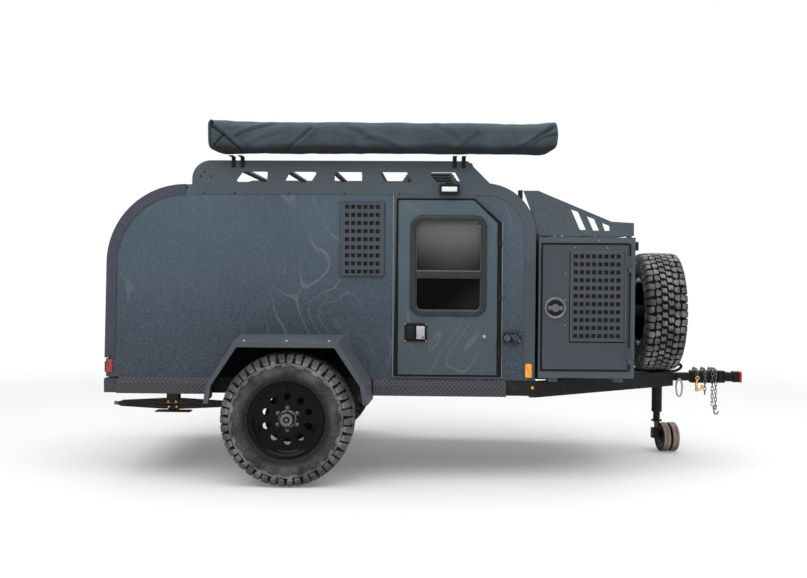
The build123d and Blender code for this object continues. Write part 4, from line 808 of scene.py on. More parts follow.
pitch_count = 2 * lug_pairs
tread_radius = 0.4155
carcass_half = (
    (0.108, 0.2235), (0.1165, 0.236), (0.1225, 0.248), (0.129, 0.259), (0.1335, 0.262), (0.1345, 0.2655),
    (0.1325, 0.27), (0.1345, 0.285), (0.138, 0.304), (0.1392, 0.306), (0.1398, 0.309), (0.139, 0.3115),
    (0.14, 0.325), (0.1395, 0.338), (0.135, 0.345), (0.1325, 0.36), (0.127, 0.378), (0.118, 0.393),
    (0.106, 0.3995), (0.083, 0.4015), (0.042, 0.403),
)
long_lug = (
    ((0.1385, 0.344), (0.133, 0.343), 0.013, 0.002), ((0.1405, 0.35), (0.131, 0.35), 0.0165, 0.003),
    ((0.1408, 0.364), (0.129, 0.364), 0.0175, 0.0035), ((0.1385, 0.379), (0.124, 0.377), 0.0205, 0.001),
    ((0.133, 0.396), (0.115, 0.391), 0.0215, 0.0), ((0.1245, 0.407), (0.108, 0.397), 0.0215, -0.001),
    ((0.103, 0.4125), (0.1, 0.399), 0.0215, -0.003), ((0.085, 0.414), (0.0865, 0.4), 0.0185, -0.006),
)
short_lug = (
    ((0.1375, 0.361), (0.13, 0.36), 0.0165, -0.003), ((0.1392, 0.368), (0.127, 0.368), 0.02, -0.003),
    ((0.137, 0.383), (0.122, 0.38), 0.021, -0.002), ((0.1315, 0.3975), (0.114, 0.392), 0.0215, 0.0),
    ((0.1225, 0.408), (0.107, 0.3975), 0.0215, 0.001), ((0.106, 0.4125), (0.102, 0.399), 0.0205, 0.003),
    ((0.093, 0.4135), (0.094, 0.4), 0.017, 0.005),
)
inner_block = (
    (-0.021, 0.004), (0.01, 0.004), (0.0225, 0.0135), (0.016, 0.025), (0.024, 0.037),
    (-0.003, 0.04), (-0.0165, 0.0305), (-0.01, 0.018),
)
outer_block = (
    (-0.0165, 0.0475), (0.013, 0.045), (0.02, 0.056), (0.0285, 0.066), (0.018, 0.08),
    (-0.012, 0.08), (-0.0225, 0.0705), (-0.0125, 0.0585),
)


def on_tread(shift, along, radius):
    """A tread point from its shift round the tyre, its place along the axle and its radius."""
    angle = shift / tread_radius
    return Vector((radius * sin(angle), along, radius * cos(angle)))


def lug(stations, flip, finish):
    """A shoulder lug that runs from the sidewall over onto the tread."""
    rings = []
    for top, root, half, shift in stations:
        near_top = [0.8 * high + 0.2 * low for high, low in zip(top, root)]
        rise = [(half + 0.0015, *root), (half, *near_top), (half - 0.002, *top)]
        around = [(-reach, along, radius) for reach, along, radius in rise] + rise[::-1]
        ring = [on_tread(flip * (shift + reach), flip * along, radius) for reach, along, radius in around]
        rings.append(ring)
    return skinned("lug", rings, finish, capped=True)


def tread_block(outline, flip, finish):
    """A tread block with softened top edges."""
    middle = [sum(values) / len(outline) for values in zip(*outline)]
    rings = []
    for shrink, drop in ((1.04, -0.014), (1.0, -0.002), (0.93, 0.0)):
        ring = []
        for shift, along in outline:
            x = middle[0] + (shift - middle[0]) * shrink
            t = middle[1] + (along - middle[1]) * shrink
            crown = tread_radius - 0.0004 - 0.0012 * (t / 0.08) ** 2
            ring.append(on_tread(flip * x, flip * t, crown + drop))
        rings.append(ring)
    return skinned("tread_block", rings, finish, capped=True)


side_ledge = (
    (-0.023, 0.352), (-0.023, 0.336), (-0.012, 0.336), (-0.012, 0.327), (0.001, 0.327), (0.006, 0.34),
    (0.017, 0.333), (0.0235, 0.342), (0.0235, 0.352),
)


def ledge(flip, finish):
    """A stepped ledge low on the shoulder."""
    rings = []
    for edge, wall, grow in ((0.1345, 0.1345, 1.02), (0.141, 0.1425, 1.0), (0.1416, 0.143, 0.94)):
        ring = []
        for shift, radius in side_ledge:
            along = wall if radius < 0.345 else edge
            ring.append(on_tread(flip * shift * grow, flip * along, radius))
        rings.append(ring)
    return skinned("ledge", rings, finish, capped=True)


def make_tyre(name, place, turn, finish):
    """Carcass with ribbed sidewalls, alternating shoulder lugs and two zigzag rows each side."""
    profile = [(-along, radius) for along, radius in carcass_half]
    profile += [(0.0, 0.4032)] + [(along, radius) for along, radius in reversed(carcass_half)]
    placing = Matrix.Translation(place) @ Matrix.Rotation(turn, 4, "Z")
    parts = [settled(lathed("carcass", profile, finish, 3 * pitch_count, closed=True), placing)]
    half_pitch = pi / pitch_count
    for flip, start in ((1, 0.0), (-1, half_pitch)):
        rings = (
            (lug(long_lug, flip, finish), lug_pairs, 0.0),
            (lug(short_lug, flip, finish), lug_pairs, 2.0),
            (ledge(flip, finish), lug_pairs, 0.5),
            (tread_block(inner_block, flip, finish), pitch_count, 0.7),
            (tread_block(outer_block, flip, finish), pitch_count, 0.1),
        )
        for part, count, shift in rings:
            parts.append(smooth(in_ring(part, count, start + shift * half_pitch, place, turn), 25))
    return joined(name, parts)


def make_hub(name, place, outward):
    """Grey cap and six wheel nuts, the rim's bead, the tyre's valve and the drum behind the rim, near-black
    as painted shade inside the wheel.
    """
    turn = pi if outward < 0 else 0.0
    placing = Matrix.Translation(place) @ Matrix.Rotation(turn, 4, "Z")
    cap_profile = (
        (0.0525, 0.056), (0.056, 0.056), (0.057, 0.051), (0.06, 0.048), (0.096, 0.0468), (0.103, 0.045),
        (0.1075, 0.041), (0.109, 0.035), (0.109, 0.0215), (0.1075, 0.02), (0.1075, 0.011), (0.1095, 0.0095),
        (0.1095, 0.0001),
    )
    nut_profile = (
        (0.052, 0.0145), (0.0555, 0.0145), (0.0565, 0.013), (0.068, 0.013), (0.0695, 0.0105),
        (0.075, 0.0062), (0.076, 0.0001),
    )
    bead_profile = ((0.113, 0.2405), (0.1195, 0.242), (0.1225, 0.2385), (0.1215, 0.233), (0.118, 0.23))
    drum_profile = (
        (0.026, 0.056), (0.029, 0.13), (0.025, 0.144), (0.012, 0.15), (-0.035, 0.15), (-0.04, 0.156),
        (-0.048, 0.156), (-0.048, 0.056),
    )
    nut = lathed("nut", nut_profile, hub_metal, 6)
    nut.data.transform(Matrix.Translation((0, 0, 0.07)))
    valve_points = ((0.0, 0.083, 0.196), (0.0, 0.1, 0.19), (0.0, 0.122, 0.182))
    valve_points = [placing @ Vector(point) for point in valve_points]
    parts = [
        settled(lathed("cap", cap_profile, hub_metal, 48), placing),
        in_ring(nut, 6, 0.0, place, turn),
        settled(lathed("bead", bead_profile, rim_paint, 96, closed=True), placing),
        tube("valve", valve_points, 0.0042, black_parts, sides=10),
        # painted shade: the drum is near-black behind the rim's holes
        settled(lathed("drum", drum_profile, stone_guard, 64, closed=True), placing),
    ]
    return joined(name, parts)


def make_wheels():
    for side, outward in (("right", -1), ("left", 1)):
        place = Vector((axle_x, outward * wheel_track_half, wheel_z))
        tyre = make_tyre(f"road_tyre_{side}", place, 0.0, rubber)
        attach(tyre, f"wheel_{side}")
        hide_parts(f"tyre_{side}")
        hub = make_hub(f"hub_fittings_{side}", place, outward)
        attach(hub, f"wheel_{side}")
    spare = make_tyre("spare_tread", Vector((axle_x + spare_x, 0, spare_z)), pi / 2, spare_rubber)
    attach(spare, "trailer")
    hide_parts("spare_tyre")


make_wheels()

# Cabin doors


def make_door_details():
    """Window frames with their bars, paddle latches, bumper pins and hinges on both doors."""
    path = rounded_path((0.754, 1.053), (1.24, 1.695), 0.075)
    section = (
        (0.0, -0.001), (0.0006, 0.006), (0.004, 0.0115), (0.01, 0.014), (0.026, 0.0145), (0.0325, 0.0125),
        (0.037, 0.007), (0.039, -0.012), (0.039, -0.018), (0.012, -0.018), (0.012, -0.001),
    )
    edge_highlight_section = ((0.0375, 0.003), (0.038, 0.006), (0.04, 0.0055), (0.041, -0.01), (0.0385, -0.01))
    sleeve_section = ((0.0105, -0.046), (0.0105, -0.001), (0.038, -0.001), (0.038, -0.046))
    window = [
        framed("frame", path, section, door_face, bronze),
        # painted highlight: a bright metal line round the frame's outer edge
        framed("bead", path, edge_highlight_section, door_face, steel),
        framed("sleeve", path, sleeve_section, door_face, black_parts),
        side_block("bar", (0.79, 1.204), (0.786, 0.8065), (1.293, 1.338), bronze, 0.003),
        side_block("rail", (0.79, 1.204), (0.79, 0.8085), (1.338, 1.344), steel, 0.0012),
    ]

    plate_path = rounded_path((0.72, 0.889), (0.864, 1.006), 0.012, 5)
    rim_section = ((0.0, 0.0), (0.0, 0.008), (0.002, 0.01), (0.009, 0.01), (0.0115, 0.008), (0.0115, 0.0))
    handle = [(0.796, 0.906), (0.85, 0.906), (0.85, 0.99), (0.796, 0.99)]
    lock_profile = ((0.02, 0.0085), (0.0245, 0.008), (0.025, 0.007), (0.024, 0.006), (0.024, 0.0001))
    screw_profile = ((0.0095, 0.0042), (0.0108, 0.004), (0.0116, 0.0028), (0.0112, 0.0001))
    screw = lathed("screw", screw_profile, silver, 10)
    latch = [
        framed("rim", plate_path, rim_section, door_face, black_parts),
        side_block("dish", (0.728, 0.857), (0.798, 0.8045), (0.897, 0.998), black_parts, 0.001),
        side_block("grip", (0.736, 0.786), (0.8, 0.8185), (0.905, 0.99), black_parts, 0.006),
        prism("paddle", handle, 0.8225, 0.0225, silver, 0.004),
        knob(lock_profile, steel, 20, 0.838, 0.8, 0.918),
        in_row("screws", screw, at(0.7255, 0.8, 0.8945), 2, (0.133, 0, 0), 2, (0, 0, 0.106)),
    ]

    pin_profile = (
        (-0.002, 0.012), (0.002, 0.012), (0.003, 0.0105), (0.011, 0.0105), (0.0145, 0.0085), (0.015, 0.0001),
    )
    pin = [knob(pin_profile, silver, 24, 1.228, 0.8, 0.924)]

    hinges = []
    knuckle = 0.0247
    upright = Matrix.Translation(at(1.32, 0.808, 0)) @ Matrix.Rotation(pi / 2, 4, "X")
    for height in (0.871, 1.222, 1.572):
        for part in range(3):
            low = height - 0.037 + knuckle * part + 0.0004
            profile = ((low, 0.0078), (low + 0.0006, 0.0084), (low + 0.0233, 0.0084), (low + 0.0239, 0.0078))
            hinges.append(settled(lathed("barrel", profile, black_parts, 20, closed=True), upright))

    fittings = {"window_frame": window, "paddle_latch": latch, "bumper_pin": pin, "door_hinges": hinges}
    fittings = {name: joined(name, parts) for name, parts in fittings.items()}
    for name, piece in fittings.items():
        right, left = on_both_sides(piece, name, "cabin_door")
        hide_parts("door_fittings_right")
        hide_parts("door_fittings_left")


def make_door_seals():
    """Black rubber seal on the fixed frame, widened on the upright sides as a painted dark reflection, and
    pale strips outside it as painted highlights on the frame's edges.
    """
    corners = ((0.678, 0.678), (1.308, 0.678), (1.308, 1.645), (1.158, 1.79), (0.678, 1.79))
    normals = ((-1, -1), (1, -1), (1, 0.4277), (0.4277, 1), (-1, 1))
    # painted dark reflection: the seal is widest on the upright sides
    wide = (0.028, 0.03, 0.026, 0.01, 0.012)
    rings = []
    for (x, z), (dx, dz), reach in zip(corners, normals, wide):
        near = (x + 0.0055 * dx, z + 0.0055 * dz)
        far = (x + reach * dx, z + 0.012 * dz)
        ring = ((near, 0.794), (near, 0.7995), (far, 0.7995), (far, 0.794))
        rings.append([at(ahead, out, height) for (ahead, height), out in ring])
    seal = bevelled(skinned("door_seal", rings, seal_rubber, closed=True), 0.0008, 1)
    on_both_sides(seal, "door_seal")
    # painted highlight: pale strips along the frame's front and rear edges
    edges = [
        side_block("edge", (1.3402, 1.3422), (0.795, 0.7988), (0.66, 1.652), silver, 0.0005),
        side_block("edge", (0.6438, 0.6458), (0.795, 0.7988), (0.66, 1.82), silver, 0.0005),
    ]
    on_both_sides(joined("frame_edges", edges), "frame_edges")


def make_catches():
    """Round knob, slanting ribs and two screws on the catch that holds the open door."""
    knob_profile = (
        (0.0, 0.0215), (0.007, 0.0215), (0.0095, 0.0195), (0.01, 0.012), (0.0085, 0.01), (0.0085, 0.0001),
    )
    rib = slab("rib", (-0.0042, -0.001, -0.024), (0.0042, 0.0034, 0.024), rack_coat, 0.0012)
    leaning = (0, radians(-32), 0)
    screw = screw_head(silver, 0.0036, 0.0025)
    parts = [
        knob(knob_profile, rack_coat, 28, 1.3735, 0.8118, 0.918),
        in_row("ribs", rib, at(1.412, 0.812, 0.918), 3, (0.015, 0, 0), turn=leaning),
        in_row("screws", screw, at(1.4545, 0.8122, 0.894), rows=2, rise=(0, 0, 0.047)),
    ]
    on_both_sides(joined("door_catch", parts), "door_catch")


make_door_details()
make_door_seals()
make_catches()

# Wheel arches, with a near-black sheet of painted shade on the wall inside each, behind the tyre

arch_outline = [(-0.497, 0.6475), (-0.3315, 0.9215), (0.3315, 0.9215), (0.497, 0.6475)]
on_both_sides(prism("arch_liner", arch_outline, 0.7928, 0.0024, stone_guard), "arch_liner")

# Front box


def make_box_latches():
    """Round bright latch: rolled rim, dark dish, folding handle and lock barrel."""
    rim_profile = (
        (-0.0098, 0.069), (-0.002, 0.07), (0.0012, 0.0688), (0.003, 0.065), (0.0026, 0.059), (0.0006, 0.054),
        (-0.0025, 0.0518), (-0.0056, 0.051),
    )
    dish_profile = ((-0.0054, 0.0515), (-0.0057, 0.03), (-0.0057, 0.0001))
    boss_profile = ((-0.005, 0.026), (0.0075, 0.025), (0.0102, 0.0225), (0.0108, 0.012), (0.01, 0.0001))
    grip_profile = ((0.0, 0.015), (0.011, 0.015), (0.0135, 0.0125), (0.014, 0.0001))
    barrel_profile = (
        (0.0098, 0.0072), (0.0128, 0.0068), (0.0128, 0.003), (0.0112, 0.0026), (0.0112, 0.0001),
    )
    place = (1.679, 0.798, 1.11)
    parts = [
        knob(rim_profile, latch_metal, 56, *place),
        knob(dish_profile, black_parts, 40, *place),
        side_block("bar", (1.6335, 1.7245), (0.7925, 0.8066), (1.0978, 1.1222), latch_metal, 0.003),
        knob(boss_profile, latch_metal, 36, *place),
        knob(grip_profile, hub_metal, 28, 1.644, 0.798, 1.11),
        knob(barrel_profile, steel, 20, *place),
    ]
    on_both_sides(joined("box_latch", parts), "box_latch", "box_door")


def make_box_door_edges():
    """Black rubber edge round each box door leaf, and a rim round the grille with black strips at its left
    and bottom as its painted shadow.
    """
    path = rounded_path((1.5902, 0.7112), (2.1548, 1.5198), 0.003, 2)
    section = (
        (0.0, -0.004), (0.0, 0.0006), (0.0012, 0.0015), (0.0068, 0.0015), (0.008, 0.0006), (0.008, -0.004),
    )
    edge = framed("box_door_edge", path, section, 0.788, seal_rubber)
    on_both_sides(edge, "box_door_edge", "box_door")
    path = rounded_path((1.7742, 0.9), (2.125, 1.473), 0.002, 2)
    section = (
        (-0.001, -0.005), (-0.001, 0.0006), (0.0004, 0.0016), (0.0046, 0.0016), (0.006, 0.0006),
        (0.006, -0.002),
    )
    parts = [
        framed("rim", path, section, 0.792, box_frame),
        # painted shadow: black strips beside the rim on the left and at the bottom
        side_block("shade", (1.7672, 1.7734), (0.786, 0.7884), (0.892, 1.473), seal_rubber, 0.0006),
        side_block("shade", (1.7672, 2.125), (0.786, 0.7884), (0.89, 0.8992), seal_rubber, 0.0006),
    ]
    on_both_sides(joined("grille_rim", parts), "grille_rim", "box_door")


def make_box_fittings():
    """Screws round the grilles and on the box frame, and the small black corner brackets."""
    head = {"finish": silver, "radius": 0.0038, "height": 0.003}
    leaf = {"body": "box_door", **head}
    screw_row("grille_screws_top", at(1.8, 0.7935, 1.494), count=2, step=(0.205, 0, 0), **leaf)
    screw_row("grille_screws_side", at(1.742, 0.7885, 1.0), rows=3, rise=(0, 0, 0.165), **leaf)
    screw_row("box_frame_screws", at(1.715, 0.8045, 1.541), count=2, step=(0.235, 0, 0), **head)
    brackets = [
        side_block("rear", (1.437, 1.466), (0.76, 0.7865), (1.797, 1.858), black_parts, 0.004),
        side_block("front", (2.1845, 2.204), (0.74, 0.78), (1.478, 1.534), black_parts, 0.004),
    ]
    on_both_sides(joined("box_brackets", brackets), "box_brackets")


make_box_latches()
make_box_door_edges()

# Lamps


def make_lamps():
    """Reflectors, scene light lenses, the small marker lamps and the tail lamps."""
    parts = []
    lens_section = ((0.0, -0.002), (0.0, 0.007), (0.0015, 0.0092), (0.006, 0.0098))
    reflectors = (
        ((-1.2045, 0.6735), (-1.1595, 0.7585), body_half, red_lens),
        ((1.4905, 0.6635), (1.5335, 0.7535), rack_face, amber_lens),
    )
    for low, high, face, finish in reflectors:
        path = rounded_path(low, high, 0.004, 3)
        rings = []
        for inward, rise in lens_section:
            rings.append([at(x - inward * dx, face + rise, z - inward * dz) for (x, z), (dx, dz) in path])
        parts.append(smooth(skinned("reflector", rings, finish, capped=True)))
    marker_profile = ((-0.004, 0.0095), (0.003, 0.0095), (0.0055, 0.0075), (0.0065, 0.0001))
    parts += [
        side_block("scene_lens", (0.951, 1.048), (0.829, 0.8368), (1.844, 1.874), clear_lens, 0.002),
        side_block("bracket", (0.975, 1.024), (0.7945, 0.806), (1.887, 1.905), black_parts, 0.002),
        knob(marker_profile, amber_lens, 20, 1.539, 0.786, 0.599),
    ]
    on_both_sides(joined("lamp_lenses", parts), "lamp_lenses")

    tail = [
        side_block("lens", (-1.223, -1.219), (0.673, 0.767), (0.675, 0.737), red_lens, 0.0015),
        side_block("bezel", (-1.2218, -1.219), (0.67, 0.77), (0.672, 0.74), black_parts, 0.001),
    ]
    on_both_sides(joined("tail_lamp", tail), "tail_lamp")


make_lamps()

# Screws and bolts


def make_screws():
    black, foot = black_parts, "stabiliser_foot"
    upward = (pi / 2, 0, 0)
    pair = (0.05, 0, 0)
    screw_row("rack_rear_screw", at(-0.571, rack_face, 1.83), black, 0.0055, 0.004)
    screw_row("rack_screws", at(-0.372, rack_face, 1.83), black, 0.0055, 0.004, 5, (0.352, 0, 0))
    screw_row("rack_end_screws", at(-0.592, rack_face, 1.938), black, 0.006, 0.003, 2, (0.067, 0, 0))
    screw_row("rack_corner_screw", at(-0.566, rack_face, 1.964), black, 0.006, 0.003)
    vent_start = at(0.3125, 0.8025, 1.4)
    screw_row("vent_screws", vent_start, black, 0.0042, 0.005, 2, (0.27, 0, 0), rows=2, rise=(0, 0, 0.28))
    fender_start = at(-0.262, 1.045, 0.9045)
    screw_row("fender_bolts", fender_start, silver, 0.009, 0.006, 3, (0.262, 0, 0), turn=upward)
    screw_row("leg_bolts_top", at(-0.802, 0.7825, 0.487), zinc, 0.0085, 0.008, 2, pair)
    screw_row("leg_bolts_foot", at(-0.802, 0.7695, 0.451), zinc, 0.0085, 0.008, 2, pair, foot)


make_screws()
make_box_fittings()

# Awning bag

bag_rear, bag_front = -0.532, 1.674
bag_middle = 0.855
puff_frames = 20
puff_travel = 0.008
bag_creases = (
    (((1.27, 2.055), (1.412, 2.093), (1.5, 2.14), (1.585, 2.2), (1.66, 2.245)), 0.011, 0.011),
    (((1.43, 2.052), (1.468, 2.09), (1.572, 2.165), (1.65, 2.19)), 0.008, 0.009),
    (((1.06, 2.085), (1.11, 2.135), (1.175, 2.185)), 0.005, 0.015),
    (((0.5, 2.16), (0.57, 2.146), (0.648, 2.11), (0.75, 2.062)), 0.009, 0.014),
    (((0.13, 2.225), (0.085, 2.182), (0.03, 2.135), (-0.03, 2.08)), 0.01, 0.011),
    (((-0.34, 2.17), (-0.303, 2.193), (-0.198, 2.229), (-0.11, 2.252)), 0.008, 0.01),
    (((-0.25, 2.12), (-0.16, 2.16), (-0.06, 2.195)), 0.005, 0.014),
    (((-0.496, 2.241), (-0.416, 2.185), (-0.302, 2.08)), 0.009, 0.01),
    (((-0.416, 2.185), (-0.45, 2.15), (-0.492, 2.11)), 0.007, 0.009),
    (((0.33, 2.235), (0.42, 2.205), (0.48, 2.16)), 0.004, 0.016),
    (((0.86, 2.245), (0.96, 2.215), (1.04, 2.16)), 0.004, 0.018),
)


def bag_shell():
    """The slack bag before it is filled: a tapered loft with rounded corners."""
    steps, sides = 72, 36
    rear_slope, front_slope = 0.092, 0.084
    slack = 0.006
    squareness = 0.62
    rings = []
    for step in range(-2, steps + 3):
        share = min(max(step / steps, 0.0), 1.0)
        ahead = bag_rear + 0.014 + (bag_front - bag_rear - 0.028) * share
        shrink = 1.0
        past_end = max(-step, step - steps, 0)
        if past_end:
            ahead += copysign(0.005 * past_end, step)
            shrink = (0.93, 0.78)[past_end - 1]
        rear_taper = max(0.0, 1 - (ahead - bag_rear) / rear_slope)
        front_taper = max(0.0, 1 - (bag_front - ahead) / front_slope)
        low = 2.062 + 0.042 * rear_taper + 0.056 * front_taper + slack
        high = 2.293 - 0.016 * (ahead - bag_rear) / 2.206 - slack
        half_depth = 0.069 - 0.017 * max(rear_taper, front_taper)
        middle = (low + high) / 2
        half_height = (high - low) / 2
        ring = []
        for point in range(sides):
            angle = 2 * pi * point / sides
            across, up = cos(angle), sin(angle)
            across = copysign(abs(across) ** squareness, across) * half_depth * shrink
            up = copysign(abs(up) ** squareness, up) * half_height * shrink
            ring.append(at(ahead, bag_middle + across, middle + up))
        rings.append(ring)
    return skinned("awning_bag_cloth", rings, canvas, capped=True)


def puffed(piece):
    """Cloth under pressure for a few frames, applied, each point's travel capped."""
    bpy.context.view_layer.update()
    rest = [vertex.co.copy() for vertex in piece.data.vertices]
    modifier = piece.modifiers.new("cloth", "CLOTH")
    settings = modifier.settings
    settings.quality = 4
    settings.mass = 0.3
    settings.tension_stiffness = 22
    settings.compression_stiffness = 8
    settings.shear_stiffness = 8
    settings.bending_stiffness = 0.4
    settings.use_pressure = True
    settings.uniform_pressure_force = 4.0
    settings.effector_weights.gravity = 0
    modifier.collision_settings.use_collision = False
    modifier.point_cache.frame_start = 1
    modifier.point_cache.frame_end = puff_frames
    scene = bpy.context.scene
    for frame_number in range(1, puff_frames + 1):
        scene.frame_set(frame_number)
    applied(piece)
    scene.frame_set(1)
    for vertex, start in zip(piece.data.vertices, rest):
        travel = vertex.co - start
        if travel.length > puff_travel:
            vertex.co = start + travel * (puff_travel / travel.length)


def crease_depth(ahead, height):
    """How far the cloth is drawn in or stands up at a place on the bag's side."""
    total = 0.0
    for points, depth, width in bag_creases:
        nearest = 1.0
        for (a0, z0), (a1, z1) in zip(points, points[1:]):
            run, rise = a1 - a0, z1 - z0
            share = ((ahead - a0) * run + (height - z0) * rise) / (run * run + rise * rise)
            share = min(max(share, 0.0), 1.0)
            side = (height - z0 - rise * share) * run - (ahead - a0 - run * share) * rise
            gap = copysign(hypot(ahead - a0 - run * share, height - z0 - rise * share), side)
            if abs(gap) < abs(nearest):
                nearest = gap
        total -= depth * exp(-((nearest / width) ** 2))
        total += 0.55 * depth * exp(-(((nearest - 2.0 * width) / (1.2 * width)) ** 2))
    return total


def make_awning_bag():
    """The bag, filled by the cloth solver, then creased, with its sewn straps laid on it."""
    bag = bag_shell()
    remesh = bag.modifiers.new("even_mesh", "REMESH")
    remesh.mode = "VOXEL"
    remesh.voxel_size = 0.0105
    applied(bag)
    puffed(bag)
    finer = bag.modifiers.new("finer", "SUBSURF")
    finer.levels = 1
    finer.render_levels = 1
    applied(bag)
    mesh = bag.data
    normals = [Vector(vertex.normal) for vertex in mesh.vertices]
    for vertex, normal in zip(mesh.vertices, normals):
        place = vertex.co
        ahead, height = place.x - axle_x, place.z
        outward = max(0.0, -normal.y)
        fold = 1.35 * crease_depth(ahead, height) * outward
        hem_height = 2.094 + 0.008 * sin(ahead * 9)
        hem = -0.004 * exp(-(((height - hem_height) / 0.01) ** 2)) * outward
        wave = 0.005 * noise.noise(place * 5.0) + 0.0026 * noise.noise(place * 13.0 + Vector((3, 1, 7)))
        wave += 0.0011 * noise.noise(Vector((place.x * 16, place.y * 30, place.z * 42)))
        vertex.co = place + normal * (fold + hem + wave)
    mesh.materials.clear()
    mesh.materials.append(canvas)
    smooth(bag, 180)
    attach(bag, "trailer")
    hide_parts("awning_bag")
    make_bag_trim(mesh)


def make_bag_trim(mesh):
    """Webbing straps laid on the bag's side and the toggle at its rear end."""
    places = [vertex.co for vertex in mesh.vertices]
    surface = BVHTree.FromPolygons(places, [face.vertices for face in mesh.polygons])

    def strap(points, width):
        rings = []
        for (a0, z0), (a1, z1) in zip(points, points[1:]):
            for step in range(12):
                share = step / 12
                start = at(a0 + (a1 - a0) * share, 1.2, z0 + (z1 - z0) * share)
                place, normal, _, _ = surface.ray_cast(start, Vector((0, 1, 0)))
                side = Vector((a1 - a0, 0, z1 - z0)).cross(normal).normalized() * width / 2
                top = place + normal * 0.0024
                root = place - normal * 0.004
                rings.append([root + side, top + side * 0.94, top - side * 0.94, root - side])
        return smooth(skinned("strap", rings, webbing, capped=True), 50)

    toggle_profile = (
        (-0.016, 0.0001), (-0.015, 0.01), (-0.006, 0.0135), (0.006, 0.0135), (0.015, 0.01), (0.016, 0.0001),
    )
    toggle = lathed("toggle", toggle_profile, black_parts, 20)
    parts = [
        strap(((-0.503, 2.246), (-0.416, 2.185), (-0.345, 2.125), (-0.3, 2.082)), 0.017),
        strap(((-0.416, 2.183), (-0.45, 2.15), (-0.488, 2.116)), 0.013),
        strap(((-0.5, 2.24), (-0.504, 2.19), (-0.502, 2.125)), 0.006),
        settled(toggle, Matrix.Translation(at(-0.495, 0.915, 2.268))),
    ]
    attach(joined("awning_bag_straps", parts), "trailer")


make_awning_bag()

# Drawbar fittings


def chain_link():
    """One link of round wire, its length along local Z."""
    rings = []
    for step in range(20):
        angle = 2 * pi * step / 20
        middle = Vector((0.0075 * cos(angle), 0, 0.0075 * sin(angle) + copysign(0.0085, sin(angle + 0.0001))))
        outward = Vector((cos(angle), 0, sin(angle)))
        ring = []
        for side in range(8):
            turn = 2 * pi * side / 8
            ring.append(middle + 0.003 * (outward * cos(turn) + Vector((0, 1, 0)) * sin(turn)))
        rings.append(ring)
    return smooth(skinned("link", rings, steel, closed=True), 60)


def rod(points, out, radius, finish, sides=12):
    """A bent rod through (ahead, height) points at one distance outboard."""
    return tube("rod", [at(ahead, out, height) for ahead, height in points], radius, finish, sides=sides)


def grab_hook(ahead, out, top, length, finish, radius=0.005, spread=1.0):
    """A hook that hangs from its eye."""
    turns = [2 * pi * step / 12 for step in range(13)]
    eye = [(ahead + 0.012 * sin(turn), top + 0.012 * cos(turn) - 0.012) for turn in turns]
    bend = ((0.0, -0.2), (-0.1, -0.42), (-0.06, -0.82), (0.16, -1.0), (0.38, -0.86), (0.42, -0.6))
    bend = [(ahead + x * length * spread, top + z * length) for x, z in bend]
    return [rod(eye, out, 0.0042, finish, 8), rod(bend, out, radius, finish)]


def make_chains():
    """Two looped safety chains over the drawbar, with a gold hook, a dark hook and a bow shackle."""
    parts = []
    link_pitch = 0.026
    over_the_tube = (
        (-0.0565, 0.568), (-0.0565, 0.6), (-0.056, 0.645), (-0.03, 0.65), (0.0, 0.65), (0.03, 0.65),
        (0.057, 0.645), (0.059, 0.6), (0.06, 0.56), (0.0605, 0.53),
    )
    for ahead, low in ((2.772, 0.512), (2.829, 0.487), (2.881, 0.409), (2.905, 0.384)):
        points = [at(ahead, out, height) for out, height in (*over_the_tube, (0.0605, low))]
        path = curved("strand_path", points)
        parts.append(on_path.grown("strand", chain_link(), Path=path, Spacing=link_pitch, Quarter=pi / 2))
        bpy.data.objects.remove(path)
    parts += grab_hook(2.772, 0.073, 0.602, 0.1, zinc, 0.0085, 0.85)
    parts += grab_hook(2.9, 0.0605, 0.392, 0.06, steel)
    chains = joined("chain_links", [smooth(part, 60) for part in parts])
    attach(chains, "trailer")
    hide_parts("safety_chains")

    bow = (
        (2.648, 0.585), (2.63, 0.562), (2.63, 0.5), (2.638, 0.463), (2.651, 0.456), (2.664, 0.463),
        (2.672, 0.5), (2.67, 0.562), (2.65, 0.585),
    )
    pin = [at(2.648, out, 0.582) for out in (0.03, 0.068)]
    shackle = [rod(bow, 0.0535, 0.0068, silver), tube("pin", pin, 0.0065, silver, "POLY")]
    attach(joined("bow_shackle", shackle), "trailer")


def make_jack_grip():
    """Hand loop on the jack's outer tube, with its gold bolt, and the wiring clamp under the arm."""
    loop = (
        (2.606, 0.606), (2.65, 0.596), (2.718, 0.598), (2.76, 0.628), (2.742, 0.652), (2.69, 0.672),
        (2.64, 0.674), (2.606, 0.664),
    )
    brace = ((2.606, 0.634), (2.67, 0.642), (2.735, 0.64))
    head = screw_head(zinc, 0.01, 0.007)
    parts = [
        rod(loop, -0.312, 0.0105, black_parts),
        rod(brace, -0.312, 0.0065, black_parts),
        settled(head, facing_out(at(2.689, -0.3045, 0.664))),
        side_block("clamp", (2.322, 2.345), (0.175, 0.215), (0.5275, 0.5385), steel, 0.002),
    ]
    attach(joined("jack_grip", parts), "trailer")


def make_collar_rim():
    """Red guard round the open end of the tow bar."""
    path = rounded_path((-0.037, 0.5575), (0.037, 0.6315), 0.008, 5)
    section = (
        (0.0, -0.015), (-0.0016, -0.013), (-0.0016, 0.0), (0.0008, 0.0022), (0.006, 0.0022), (0.008, -0.006),
    )
    rings = []
    for (y, z), (dy, dz) in path:
        ring = [Vector((2.1565 + along, y - inward * dy, z - inward * dz)) for inward, along in section]
        rings.append(ring)
    rim = smooth(skinned("collar_rim", rings, red_plastic, closed=True))
    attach(rim, "tow_bar")


hub_place = Vector((1.648021, 0.306128, 0.106))
hub_turn = atan2(-0.984981, 0.172665)


